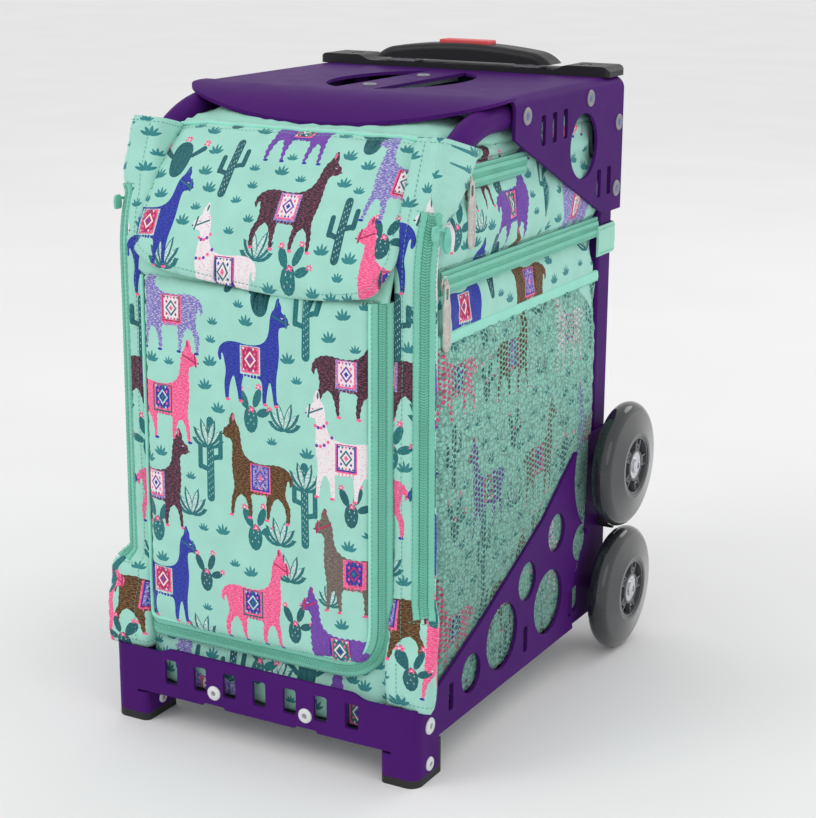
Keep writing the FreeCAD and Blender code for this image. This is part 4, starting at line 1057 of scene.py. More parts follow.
def build_door_edge(parts):
    sweep(parts, door_line(3.9, 6.4), flat_section(5.4, 0.9, 0.25, -1.2))
    for inset, depth in ((5.4, 4.9), (2.2, 8.2)):
        stitches(parts, raised(door_line(inset, depth), 1.05))
    sweep(parts, door_line(6.0, 4.5, 0.5), round_section(1.3, 8, 0.2), 2)
    # The ridge under the coil, in the painted shadow colour.
    sweep(parts, door_line(0.75, 9.5),
          [(-1.5, -1.2), (-1.5, 0.3), (-1.0, 0.9), (1.1, 1.0), (1.5, 0.2), (1.5, -1.2)], 4)
    teeth(parts, door_line(0.0, 10.3), 2.4, 0.9, 0.6, 3, sides=(-1,))
    sweep(parts, door_line(1.5, 13.6, 0.995), flat_section(7.5, 0.6, 0.1, -1.0), 5)


def build_door_frame(parts):
    sweep(parts, door_line(-3.9, 14.2), flat_section(5.4, 0.8, 0.2, -1.2))
    for inset, depth in ((-2.4, 12.6), (-5.4, 15.8)):
        stitches(parts, raised(door_line(inset, depth), 0.95))
    # The ridge under the coil, in the painted shadow colour.
    sweep(parts, door_line(-0.75, 11.1),
          [(-1.5, -1.2), (-1.5, 0.2), (-1.1, 1.0), (1.0, 0.9), (1.5, 0.3), (1.5, -1.2)], 4)
    teeth(parts, door_line(0.0, 10.4), 2.4, 0.9, 0.6, 3, sides=(1,))
    sweep(parts, door_line(1.0, 17.0, 0.05), flat_section(15.0, 0.6, 0.3, -2.4), 5)


for name, body, node, build in (("front_panel_zip", "door", "panel_zip_tape", build_door_edge),
                                ("doorway_zip", "frame", "zip_tapes", build_door_frame)):
    seam_piece(name, body, node, build, [tape, thread, binding, coil, coil_shadow_cloth, lining])

back_outline = rounded_outline([(-91, 82), (91, 82), (91, 338), (-91, 338)], 20)
door_back = skin("front_panel_lining", Surface(*flat_plane(1, LINING_Y, 1, back_outline, 3.0)), back_outline, [],
                 {"mint": lining}, 1.0, 9.0, "door")

# ---- cloth round the front panel, with the lip under it ----
lip_outline = rounded_outline([(-103.6, 32.8), (103.6, 32.8), (103.6, 338), (97, 338), (97, 112), (84, 88), (-84, 88),
                               (-97, 112), (-97, 338), (-103.6, 338)], (3, 3, 2, 2, 30, 12, 12, 30, 2, 2))


def lip_shape(u, v):
    front = 6.6 * fade(v, 66, 56) * fade(np.abs(u), 100, 92)
    return (2.8 + 0.8 * np.sin(u / 13.0) + 0.5 * np.sin(u / 6.1 + 1.0)) * fade(v, 84, 70) + front * 0.6


lip = skin("front_lip", Surface(*flat_plane(1, LIP_Y, -1, lip_outline, 1.5, lip_shape)), lip_outline,
           printed([("saguaro_small", -70, 28), ("saguaro_small", -30, 30), ("agave", 10, 50), ("purple", 74, 12),
                    ("lilac", -54, 2), ("pear", -8, 48), ("barrel", 34, 46)],
                   (-103, 38), (103, 120), 8, 10), inks, 2.0, 5.0)
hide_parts("bag_front")

# ---- flap ----
CURVE = np.array([(2.2, 328.0), (3.0, 340.0), (4.5, 355.0), (10.0, 368.0), (20.0, 387.0), (33.0, 407.0),
                  (52.0, 431.0), (66.0, 445.0), (76.0, 447.2), (86.0, 447.6)])
FLAP_START = 340.0                       # flat height at which the curve's own length starts
curve_steps = lengths(CURVE) - 12.0
even_steps = np.linspace(-12, curve_steps[-1], 40)
curve_rows = np.stack([np.interp(even_steps, curve_steps, CURVE[:, 0]),
                       np.interp(even_steps, curve_steps, CURVE[:, 1]), np.zeros(40)], axis=1)
flap_length = Lattice(even_steps, np.linspace(0, 1, 5), np.repeat(curve_rows[None], 5, axis=0))


def flap_v(z):
    """Flat height on the flap of a point at height z."""
    return FLAP_START + np.interp(z, CURVE[:, 1], curve_steps)


FLAP_TOP = flap_v(445.0)
flap_outline = rounded_outline([(-104.5, flap_v(446.4)), (-105, 420), (-105.5, 380), (-104, 361), (-82, 351),
                                (-20, 344.5), (29, 340.5), (70, 343.5), (97, 349), (106.5, 366), (106.5, 400),
                                (104, flap_v(446.4))], (3, 30, 30, 16, 30, 60, 60, 40, 26, 30, 40, 3))


def curve_frame(v):
    """Point and outward normal in the (y, z) plane at a flat height."""
    s = np.asarray(v, float) - FLAP_START
    low, here, high = (flap_length.at(s + step, np.full(len(s), 0.5))[:, :2] for step in (-1.5, 0, 1.5))
    t = unit(high - low)
    return here, np.stack([-t[:, 1], t[:, 0]], axis=1)


def off_curve(u, v, rise):
    """Points that stand off the curve by a rise."""
    p, n = curve_frame(v)
    return np.stack([u, p[:, 0] + n[:, 0] * rise, p[:, 1] + n[:, 1] * rise], axis=1)


def flap_base(u, v):
    d = inside_distance(flap_outline, u, np.minimum(v, FLAP_TOP))
    rise = 2.2 + 2.6 * np.clip(1 - (u / 104) ** 4, 0, 1) * np.sin(fade(v, 342, 447) * math.pi)
    rise = rise - roll(d, 3.0) - 1.1 * np.exp(-((d - 5.0) / 1.6) ** 2) * (v < FLAP_TOP - 3)
    rise = rise - 2.0 * np.exp(-((v - FLAP_TOP) / 3.0) ** 2)
    return off_curve(u, v, rise + 4.0 * fade(np.abs(u), 70, 105) ** 2 * fade(v, 385, 345))


def flap_out(u, v):
    _, n = curve_frame(v)
    return np.stack([np.zeros(len(u)), n[:, 0], n[:, 1]], axis=1)


flap_lattice = relaxed(216, 130, border_pins(216, 130, 8.0), 5, grow=0.02, cap=3.6)
flap_surface = Surface(flap_base, flap_out, flap_lattice, (-108, 339), even(3.4))
FLAP_MOTIFS = [("saguaro_small", -39, 399), ("saguaro_small", 64, 366), ("agave", -74, 352), ("agave", 2, 362),
               ("pear", 30, 344), ("barrel", -84, 408), ("pear_dark", 96, 372), ("pear_dark", -52, 442),
               ("barrel", 64, 432), ("navy", -90, 352, -1, 0.95), ("purple", 10, 423, -1), ("dark", 22, 369, -1),
               ("lilac", 96, 392), ("white", -27, 322), ("rose", 104, 325), ("rose", -88, 446, -1),
               ("walker", 72, 446)]


def flap_flat(motifs):
    """Motif places given as heights on the object, turned into flat heights."""
    return [(k, x, float(flap_v(z)) if z > 341 else z, *more) for k, x, z, *more in motifs]


flap = skin("front_flap_print", flap_surface, flap_outline,
            printed(flap_flat(FLAP_MOTIFS), (-108, 340), (108, FLAP_TOP), 21)
            + [("mint", np.array([(-110, FLAP_TOP), (110, FLAP_TOP), (110, 480), (-110, 480)]))],
            inks, 2.6, 5.0, "flap")
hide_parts("front_flap")


def build_flap_seams(parts):
    loop = rounded_outline(flap_outline, 1.0, 2)
    centre = np.array([0.0, 400.0])
    inner = []
    for before, p, after in zip(np.roll(loop, 1, 0), loop, np.roll(loop, -1, 0)):
        t = unit(after - before)
        n = np.array([-t[1], t[0]])
        inner.append(p + n * (4.6 if n @ (centre - p) > 0 else -4.6))
    inner = [q for q in inner if q[1] < FLAP_TOP - 6]
    start = min(range(len(inner)), key=lambda i: (inner[i][0] > 0, -inner[i][1]))
    stitches(parts, flap_surface.line(inner[start:] + inner[:start], 2.0, 0.35), 0)
    sweep(parts, flap_surface.line([(-103, FLAP_TOP + 1), (103, FLAP_TOP + 1)], 4.0), round_section(1.5, 8, 0.2), 1)
    stitches(parts, flap_surface.line([(-102, FLAP_TOP - 5), (102, FLAP_TOP - 5)], 2.0, 0.2), 0)


seam_piece("flap_seams", "flap", None, build_flap_seams, [thread, binding])

header_outline = rounded_outline([(-103, 344), (103, 344), (103, 462), (-103, 462)], 4)
header = skin("front_header", Surface(lambda u, v: off_curve(u, v, -5.6), flap_out), header_outline, [],
              {"mint": plain}, 2.6, 9.0)
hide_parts("bag_front")

# ---- side panels ----
SIDE_X, POCKET_X, TOP_Z, BACK_Y, BOTTOM_Z = 121.0, 124.2, 445.0, 304.6, 35.0
side_outline = rounded_outline([(39, 36), (39, 300), (39, 357), (47, 388), (66, 415), (92, 433), (122, 441),
                                (304, 441), (304, 36)], (3, 60, 40, 40, 40, 40, 30, 6, 6))
PLATE_LINE = ((9, 59), (101, 94), (203, 141), (248, 171), (292, 185), (306, 188))


def over_plate(y, z):
    """0 where the cloth is behind the base's side plate, rising to 1 above it."""
    top = np.interp(y, *zip(*PLATE_LINE))
    return fade(z - top, 4, 34)


def side_shape(u, v):
    puff = 1.8 * np.sin(fade(v, 361, 413) * math.pi) + 2.0 * fade(np.abs(v - 392), 60, 0)
    return puff * fade(u, 44, 74) - pads(v, (346, 362, 413, 429), 1.0, 3.0)


SIDE_PRINT = [("saguaro_small", 120, 331), ("saguaro", 201, 378), ("saguaro_small", 300, 392), ("agave", 286, 338),
              ("pear", 60, 374), ("barrel", 240, 408), ("agave_small", 92, 382), ("pear_dark", 128, 402),
              ("purple", 150, 362, -1), ("dark", 100, 396, -1, 0.8), ("lilac", 252, 346), ("walker", 176, 300),
              ("navy", 82, 300, -1), ("rose", 250, 428), ("white", 30, 372)]
side_flat = printed(SIDE_PRINT, (40, 322), (306, 442), 31)
left_flat = repeat((40, 322), (306, 442), 35)
BELOW_PRINT = repeat((50, 38), (306, 322), 41)


def side_surface(side, x, outline, roll_radius, shape, cloth, origin, limit):
    """A surface on one side of the bag; limit is its most puff behind the plate and above it."""
    return Surface(*flat_plane(0, side * x, side, outline, roll_radius, shape), cloth, origin,
                   lambda u, v: limit[0] + limit[1] * over_plate(u, v))


side_seams = [(level, 1.0) for level in (312, 327, 379, 395)]
side_cloth = relaxed(264, 410, border_pins(264, 410, 9.0, side_seams), 7, grow=0.03, cap=5.0)
side_surfaces = {}
for side, word in SIDES:
    surface = side_surfaces[side] = side_surface(side, SIDE_X, side_outline, 7.0, side_shape, side_cloth, (42, 34),
                                                 (2.5, 4.0))
    panel = skin("side_panel_" + word, surface, side_outline, side_flat if side > 0 else left_flat, inks, 3.0, 6.0)
    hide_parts("bag_body")

# ---- mesh pockets ----
pocket_outline = rounded_outline([(35, 60), (50, 40), (303, 40), (303, 316), (35, 316)], (6, 6, 4, 3, 3))


def pocket_shape(u, v):
    return 1.6 * np.sin(fade(v, 40, 312) * math.pi) * np.sin(fade(u, 35, 304) * math.pi)


pocket_cloth = relaxed(268, 276, border_pins(268, 276, 7.0, hold=0.9), 13, grow=0.055, spacing=6.0, cap=5.5,
                       stiff=6.0)
for side, word in SIDES:
    surface = side_surface(side, POCKET_X, pocket_outline, 1.2, pocket_shape, pocket_cloth, (35, 40), (2.6, 4.5))
    pocket = skin("mesh_pocket_" + word, surface, pocket_outline, BELOW_PRINT, net_inks, 0.7, 5.0,
                  back=net_inks["mint"])
    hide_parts("mesh_pockets")

# ---- top, back and bottom ----
top_outline = rounded_outline([(-104, 72), (104, 72), (119, 110), (119, 303), (-119, 303), (-119, 110)],
                              (4, 4, 30, 8, 8, 30))
top_cloth = relaxed(240, 232, border_pins(240, 232, 9.0), 17, grow=0.035, cap=6.0, stiff=7.0)


def top_shape(u, v):
    """Rises in soft wrinkles towards the seat's nose."""
    rise = np.exp(-((v - 118) / 26.0) ** 2) * fade(np.abs(u), 105, 83)
    return 9.0 * rise + 1.1 * rise * (np.sin(u / 7.0 + v / 11.0) + 0.6 * np.sin(u / 3.7 - v / 19.0))


top_surface = Surface(*flat_plane(2, TOP_Z, 1, top_outline, 6.0, top_shape), top_cloth, (-120, 72), even(6.0))
top = skin("top_cover_cloth", top_surface, top_outline, [], {"mint": plain}, 2.5, 6.0)
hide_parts("top_cover")

back_panel_outline = rounded_outline([(-119, 36), (119, 36), (119, 440), (-119, 440)], 8)
rear = skin("back_panel", Surface(*flat_plane(1, BACK_Y, 1, back_panel_outline, 5.0)), back_panel_outline,
            repeat((-119, 36), (119, 440), 51), inks, 3.0, 8.0)
bottom_outline = rounded_outline([(-119, 17), (119, 17), (119, 302), (-119, 302)], 8)
bottom = skin("bottom_panel", Surface(*flat_plane(2, BOTTOM_Z, -1, bottom_outline, 1.0)), bottom_outline, [],
              {"mint": plain}, 2.5, 10.0)
for obj in (rear, bottom):
    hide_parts("bag_body")

# ---- corner sleeves ----
BEND_Z, BEND_R, TUBE_X, TUBE_Y = 357.0, 98.0, 117.5, 28.0
SLEEVE_LOW, SLEEVE_HIGH = 57.5, 456.0
ZIP_LOW, ZIP_HIGH = 126.0, 399.0
TOP_START, HEM = ZIP_HIGH - 4, ((42.0, 452.0), (96.0, 438.0))
BEND_END = (TOP_START - BEND_Z) / BEND_R


def sleeve_section(front, *outer):
    """Section of a sleeve about its tube: inner rear, inner front, then the outer corners."""
    line = rounded_outline([(-15.4, 15.0), (-15.4, front), *outer], (1.5, 5.0, 5.0, 4.0, 5.0, 1.5), 9)
    line = np.vstack([line, line[:1]])
    return np.vstack([resample(line[k:k + 2], np.linalg.norm(line[k + 1] - line[k]) / 4.0 + 1e-6)[:4]
                      for k in range(len(line) - 1)] + [line[:1]])


SECTIONS = (sleeve_section(-16.6, (6.0, -16.8), (20.5, -16.0), (15.0, -3.0), (4.0, 15.0)),       # flared foot
            sleeve_section(-12.2, (0.5, -12.3), (12.2, -3.2), (8.2, 4.0), (1.8, 14.6)),          # along the zip
            sleeve_section(-12.2, (3.0, -12.6), (10.5, -12.4), (10.5, 8.0), (7.0, 15.6)))        # hem at the top
section_steps = lengths(SECTIONS[1])
PERIMETER = section_steps[-1]
FRONT_SEAM_U, *zip_edges = (section_steps[int(np.argmin(np.linalg.norm(SECTIONS[1] - p, axis=1)))]
                            for p in ((-6.5, -12.2), (0.5, -12.3), (12.2, -3.2)))
ZIP_U = sum(zip_edges) / 2


def section_at(u, v):
    """Points and outward normals of the sleeve's section at heights v."""
    low, high = fade(v, ZIP_LOW + 4, ZIP_LOW - 8), fade(v, ZIP_HIGH - 2, ZIP_HIGH + 12)
    weights = (low, 1 - low - high, high)

    def place(t):
        t = np.mod(t, PERIMETER)
        return sum(w[:, None] * np.stack([np.interp(t, section_steps, s[:, k]) for k in (0, 1)], axis=1)
                   for w, s in zip(weights, SECTIONS))
    d = unit(place(u + 0.9) - place(u - 0.9))
    return place(u), np.stack([d[:, 1], -d[:, 0]], axis=1)


def sleeve_surface(side):
    """The sleeve of one side: round its tube, straight and then bent back with it, and up to the hem."""
    def base(u, v):
        p, n = section_at(u, v)
        near = np.abs(u - ZIP_U)
        flare = fade(v, ZIP_HIGH - 2, ZIP_HIGH + 3) + fade(v, ZIP_LOW + 2, ZIP_LOW - 3)
        rise = flare * np.exp(-(near / 13) ** 2) - (1 - np.clip(flare, 0, 1)) * (near < 8.0)
        rise = rise - 0.7 * np.exp(-((u - FRONT_SEAM_U) / 1.1) ** 2)
        rise = rise - 0.8 * np.exp(-((v - SLEEVE_LOW - 5) / 1.6) ** 2)
        rise = rise + 0.7 * np.sin(v / 23 + u / 9) * fade(near, 8, 14)
        p = p + n * rise[:, None]
        x = TUBE_X + p[:, 0] + 1.2 * fade(v, 300, 130) * np.clip(p[:, 0] / 12, 0, 1)
        shelf = 6.0 * fade(v, 106, 92) * fade(p[:, 1], 4, -10)
        angle, r = np.clip((v - BEND_Z) / BEND_R, 0, BEND_END), BEND_R - p[:, 1]
        y = np.where(v > BEND_Z, TUBE_Y + BEND_R - r * np.cos(angle), TUBE_Y + p[:, 1] - shelf)
        z = np.where(v > BEND_Z, BEND_Z + r * np.sin(angle), v)
        up, back = fade(v, TOP_START, SLEEVE_HIGH), (p[:, 1] + 12.6) / 28.2
        y = y + up * (HEM[0][0] + (HEM[1][0] - HEM[0][0]) * back - y)
        z = z + up * (HEM[0][1] + (HEM[1][1] - HEM[0][1]) * back - z)
        return np.stack([side * x, y, z], axis=1)

    def outward(u, v):
        _, n = section_at(u, v)
        angle = np.clip((v - BEND_Z) / BEND_R, 0, BEND_END)
        return np.stack([side * n[:, 0], n[:, 1] * np.cos(angle), -n[:, 1] * np.sin(angle)], axis=1)
    return Surface(base, outward, sleeve_cloth, (0, SLEEVE_LOW), even(1.2))


sleeve_flat = [(0, SLEEVE_LOW), (PERIMETER, SLEEVE_LOW), (PERIMETER, SLEEVE_HIGH), (0, SLEEVE_HIGH)]
SLEEVE_SIZE = (PERIMETER, SLEEVE_HIGH - SLEEVE_LOW)
sleeve_cloth = relaxed(*SLEEVE_SIZE, border_pins(*SLEEVE_SIZE, 4.0), 19, grow=0.03, spacing=6.0, cap=1.6)
SLEEVE_PRINT = [("navy", 10, 350), ("dark", 18, 262), ("rose", 8, 178), ("walker", 20, 92), ("white", 66, 335),
                ("purple", 70, 240), ("navy", 66, 150), ("rose", 70, 68), ("saguaro_small", 30, 305),
                ("pear", 26, 228), ("agave", 22, 150), ("pear_dark", 42, 74), ("agave", 52, 262),
                ("saguaro_small", 54, 200), ("pear", 56, 120), ("agave", 50, 330)]
LEFT_SHIFT = -24                         # the print runs lower on the left sleeve


def build_corner_zip(parts, surface):
    def upright(u, low, high, step, lift=0.0):
        return surface.line([(u, low), (u, high)], step, lift)

    for shift in (-5.0, 5.0):
        sweep(parts, upright(ZIP_U + shift, ZIP_LOW - 3, ZIP_HIGH + 3, 3.0), flat_section(5.0, 1.2, 0.3, -1.0))
        for share in (0.66, 1.36):
            stitches(parts, upright(ZIP_U + shift * share, ZIP_LOW, ZIP_HIGH, 2.0, 1.35))
    middle = upright(ZIP_U, ZIP_LOW - 2, ZIP_HIGH + 2, 2.0)
    # The ridge under the coil, in the painted shadow colour.
    sweep(parts, middle, [(-2.9, -1.0), (-2.7, 0.9), (-0.5, 1.3), (0.5, 1.3), (2.7, 0.9), (2.9, -1.0)], 3)
    teeth(parts, middle, 2.5, 1.0, 1.0, 2, lean=1.1, pitch=1.9)
    stitches(parts, upright(FRONT_SEAM_U - 1.6, SLEEVE_LOW + 6, SLEEVE_HIGH - 3, 2.0, 0.15))
    for u0, u1, level, lift in ((ZIP_U - 10, ZIP_U + 10, ZIP_LOW - 5.0, 0.2),
                                (ZIP_U - 10, ZIP_U + 10, ZIP_HIGH + 3.0, 0.2),
                                (4, PERIMETER - 4, SLEEVE_LOW + 5, 0.3), (4, PERIMETER - 4, SLEEVE_HIGH - 4, 0.3)):
        stitches(parts, surface.line([(u0, level), (u1, level)], 1.5, lift))


for side, word in SIDES:
    surface = sleeve_surface(side)
    motifs = [(kind, x, z if side > 0 else z + LEFT_SHIFT) for kind, x, z in SLEEVE_PRINT]
    sleeve = skin("corner_sleeve_print_" + word, surface, sleeve_flat,
                  printed(motifs, (0, SLEEVE_LOW), (PERIMETER, SLEEVE_HIGH), 61 + side, 12), inks, 1.8, 4.0)
    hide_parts("corner_sleeve_" + word)
    seam_piece("corner_zip_" + word, "frame", "zip_tapes",
               lambda parts: build_corner_zip(parts, surface), [tape, thread, coil, coil_shadow_cloth])

# ---- side zips, bindings and straps ----
ZIP_X, BINDING_X, STRAP_Z = 124.0, 124.6, 342.0
RIBS = ((-6.6, 1.3, 1.0), (-3.4, 2.1, 1.15), (3.4, 2.1, 1.15), (6.6, 1.3, 1.0))     # place, height, share of width


def build_side_zips(parts, side, surface):
    """Two zips: a base in painted shadow colour, four rounded ribs with grooves between them, and a coil in the
    middle.
    """
    for z, y0, y1 in ((421.0, 72.0, 171.0), (354.0, 41.0, 303.5)):
        line, chain = (facing([(side * ZIP_X, y, z) for y in np.arange(y0, y1, step)], (side, 0, 0))
                       for step in (4.0, 2.0))
        # The base, in the painted shadow colour that shows in the grooves between the ribs.
        sweep(parts, line, [(-7.9, -1.2), (-7.9, 0.9), (7.9, 0.9), (7.9, -1.2)], 3)
        for dz, high, wide in RIBS:
            rib = [(-1.45, 0.4), (-1.35, high), (-0.8, high + 0.45), (0.8, high + 0.45), (1.35, high), (1.45, 0.4)]
            sweep(parts, raised(line, 0, (0, 0, dz)), [(a * wide, b) for a, b in rib])
        teeth(parts, chain, 1.7, 0.9, 0.9, 2, lean=0.7)
        for dz, on_cloth in ((-9.6, True), (-6.6, False), (6.6, False), (9.6, True)):
            p, n = raised(line, 0, (0, 0, dz))
            p[:, 0] = surface.points(p[:, 1], p[:, 2])[:, 0] if on_cloth else side * (ZIP_X + 1.75)
            stitches(parts, raised((p, n), 0.3))


def build_binding(parts, side):
    line = facing([(side * BINDING_X, y, 314.6) for y in np.arange(35.0, 304.5, 4.0)], (side, 0, 0))
    sweep(parts, line, flat_section(8.8, 2.0, 0.5, -0.6))
    stitches(parts, raised(line, 2.3, (0, 0, -3.4)))


def build_strap(parts, side):
    """A band once round the rear post, seen from above as three sides of a box."""
    ring = resample(rounded_path([(98.2, 300), (98.2, 334.8), (126.0, 334.8), (126.0, 300)], 4.0, 6), 2.0)
    p = np.array([(side * x, y, STRAP_Z) for x, y in ring])
    n = np.cross(unit(np.gradient(p, axis=0)), (0, 0, 1.0)) * side
    n = n * np.sign(np.sum(n * (p - [side * 112, 318, STRAP_Z]), axis=1, keepdims=True))
    sweep(parts, (p, n), flat_section(24.0, 1.4, 0.4, -0.2))
    for dz in (-9.5, 9.5):
        stitches(parts, raised((p, n), 1.5, (0, 0, dz)))


for side, word in SIDES:
    surface = side_surfaces[side]
    seam_piece("side_zips_" + word, "frame", "zip_tapes",
               lambda parts: build_side_zips(parts, side, surface), [tape, thread, coil, coil_shadow_cloth])
    seam_piece("mesh_binding_" + word, "frame", "mesh_bindings",
               lambda parts: build_binding(parts, side), [binding, thread])
    seam_piece("post_strap_" + word, "frame", "post_straps",
               lambda parts: build_strap(parts, side), [plain, thread])


# ---- sliders and pulls ----
def plate(parts, loops, thick, bevel, place, pick=0):
    """A flat plate cut from closed loops, inner loops being holes, with rounded edges."""
    curve = bpy.data.curves.new("plate", "CURVE")
    curve.dimensions = "2D"
    curve.fill_mode = "BOTH"
    curve.extrude = thick / 2 - bevel
    curve.bevel_depth = bevel
    curve.bevel_resolution = 2
    curve.offset = -bevel
    for loop in loops:
        spline = curve.splines.new("POLY")
        spline.points.add(len(loop) - 1)
        for point, (a, b) in zip(spline.points, loop):
            point.co = (a, b, 0, 1)
        spline.use_cyclic_u = True
    obj = bpy.data.objects.new("plate", curve)
    bpy.context.scene.collection.objects.link(obj)
    bpy.context.view_layer.update()
    mesh = bpy.data.meshes.new_from_object(obj.evaluated_get(bpy.context.evaluated_depsgraph_get()))
    verts = [place(*v.co) for v in mesh.vertices]
    faces = [tuple(f.vertices) for f in mesh.polygons]
    flipped = np.linalg.det(np.array([place(1, 0, 0), place(0, 1, 0), place(0, 0, 1)])
                            - np.array(place(0, 0, 0))) < 0
    parts.add(verts, [f[::-1] for f in faces] if flipped else faces, pick)
    bpy.data.objects.remove(obj)
    bpy.data.meshes.remove(mesh)


def raised_ring(parts, place, side, radii, low, height, section, pick=0, count=16):
    """A raised ring on a pull's plate, its middle low below the top and its radii across and up."""
    ring = [place(radii[0] * math.cos(a), low + radii[1] * math.sin(a), height) for a in full_turn(count)]
    sweep(parts, facing(ring, (side, 0, 0)), section, pick, closed=True)


def pull_loop(inset=0.0):
    """Outline of a metal pull hanging from (0, 0)."""
    w, neck, end = 5.4 - inset, 3.9 - inset, -45.2 + inset
    points = [(-3.2 + inset, -inset), (3.2 - inset, -inset), (neck, -11.5), (w, -14.5), (w, -41), (w * 0.72, end),
              (0, -47 + inset), (-w * 0.72, end), (-w, -41), (-w, -14.5), (-neck, -11.5)]
    return rounded_outline(points, (1.5, 1.5, 2, 2, 4, 2.5, 2, 2.5, 4, 2, 2), 4)


PULL_X, SLIDER_X, PANEL_SLIDER_X = 128.4, 124.5, 97.6
CORNER_X, LINK_X, DROP_X = 129.9, 131.0, 131.2


def build_pull(parts, side, y, top):
    """A cast pull with an eye, a raised border and four raised rings."""
    def place(a, b, c):
        return (side * (PULL_X + c), y + a, top + b)
    eye = rounded_outline([(-1.7, -10.2), (1.7, -10.2), (1.7, -2.6), (-1.7, -2.6)], 1.2, 4)
    plate(parts, [pull_loop(), eye], 1.7, 0.35, place)
    border = [q for q in pull_loop(1.3) if q[1] < -14.0]
    border = [place(a, b, 0.8) for a, b in resample(border + border[:1], 1.2)][:-1]
    sweep(parts, facing(border, (side, 0, 0)), round_section(0.5, 6, 0.1), closed=True)
    for k in range(4):
        raised_ring(parts, place, side, (2.2, 2.4), -18.5 - 6.6 * k, 0.8, round_section(0.42, 6, 0.05))


def slider_body(narrow, wide, tail, long, nose):
    """Outline of a slider, with its nose up."""
    return rounded_outline([(-narrow, -long), (narrow, -long), (wide, nose), (tail, long), (-tail, long),
                            (-wide, nose)], 2.0, 5)


def build_slider(parts, side, y, z):
    """A slider body with a bail, lying on a side zip."""
    plate(parts, [slider_body(4.1, 4.6, 3.2, 5.4, 0)], 2.0, 0.6,
          lambda a, b, c: (side * (SLIDER_X + 1.0 + c), y + a, z + b))
    bail = rounded_path([(0, -3.4), (2.0, -2.6), (2.3, 0), (1.4, 2.6), (0, 3.2)], 1.2, 4)
    p = [(side * (SLIDER_X + 1.6 + a), y, z + b) for a, b in resample(bail, 0.7)]
    sweep(parts, facing(p, (0, 1, 0)), round_section(0.75, 8))


def build_teardrop(parts, side):
    """The corner zip's slider, its link and a soft teardrop pull with two embossed rings."""
    plate(parts, [slider_body(3.6, 4.2, 3.0, 5.2, 0.5)], 2.0, 0.6,
          lambda a, b, c: (side * (CORNER_X + c), 23 + a, 391.5 + b))
    neck = [(side * LINK_X, y, z) for y, z in ((21.5, 393.5), (24, 394.2), (30, 393.4), (35, 391.5))]
    sweep(parts, facing(neck, (side, 0, 0)), [(-0.9, -0.5), (0.9, -0.5), (0.9, 0.5), (-0.9, 0.5)], 1)
    drop = rounded_outline([(-2.2, 0), (2.2, 0), (6.4, -11), (0, -20.5), (-6.4, -11)], (2, 2, 6, 9, 6), 6)
    turn = math.radians(12)

    def place(a, b, c):
        y = 36.5 + a * math.cos(turn) - b * math.sin(turn) * 0.3
        return (side * (DROP_X + c), y, 394.0 + b * math.cos(turn) + a * math.sin(turn))
    plate(parts, [drop], 2.4, 0.8, place, 1)
    for radius in (3.1, 1.3):
        raised_ring(parts, place, side, (radius, radius), -10.8, 1.15, round_section(0.45, 6), 1, 24)


def build_panel_slider(parts, side):
    body = rounded_outline([(-1.9, -6), (1.9, -6), (2.4, 0.5), (1.6, 6), (-1.6, 6), (-2.4, 0.5)], 1.2, 4)
    plate(parts, [body], 3.0, 0.7, lambda a, b, c: (side * (PANEL_SLIDER_X + a), 13.9 - c, 320 + b))


for side, word in SIDES:
    for level, slider, pull in (("upper", (77.5, 421.0), (77.5, 419.0)), ("lower", (44.5, 354.0), (42.5, 354.0))):
        seam_piece(f"{level}_slider_body_{word}", f"{level}_slider_{word}", f"{level}_slider_{word}",
                   lambda parts: build_slider(parts, side, *slider), [zamak])
        seam_piece(f"{level}_pull_plate_{word}", f"{level}_pull_{word}", f"{level}_pull_{word}",
                   lambda parts: build_pull(parts, side, *pull), [zamak])

for side, word in SIDES:
    seam_piece("corner_slider_body_" + word, "corner_slider_" + word, "corner_slider_" + word,
               lambda parts: build_teardrop(parts, side), [tape, pull_rubber])
    seam_piece("panel_slider_body_" + word, "panel_slider_" + word, "panel_slider_" + word,
               lambda parts: build_panel_slider(parts, side), [zamak])

# ---- rivets, screws and wheel hubs ----
PLATE_X = 131                            # outer face of the frame's side plates
# Profiles of a ring and a core, as (height in millimetres, share of the radius).
RIVET = ([(0, 0.98), (0.5, 1.0), (1.0, 0.93), (1.3, 0.80), (1.3, 0.62), (0.8, 0.54), (0.8, 0.42), (0, 0.42)],
         [(0, 0.44), (0.8, 0.44), (1.15, 0.38), (1.4, 0.2), (1.42, 0.0), (0, 0)])
SCREW = ([(0, 1.0), (0.6, 1.0), (1.2, 0.92), (1.6, 0.72), (1.65, 0.40), (1.0, 0.33), (0.2, 0.33)],
         [(0.1, 0.34), (1.0, 0.34), (0.8, 0.18), (1.2, 0.12), (1.2, 0.0), (0.1, 0.0)])


def turned_heads(name, node, shape, places, materials):
    """Round heads at (centre, axis, radius), each a ring and a core."""
    def build(parts):
        for centre, axis, radius in places:
            for pick, profile in enumerate(shape):
                lathe(parts, [(a, r * radius) for a, r in profile], centre, axis, pick, 32)
    seam_piece(name, "frame", node, build, materials, 50.0)


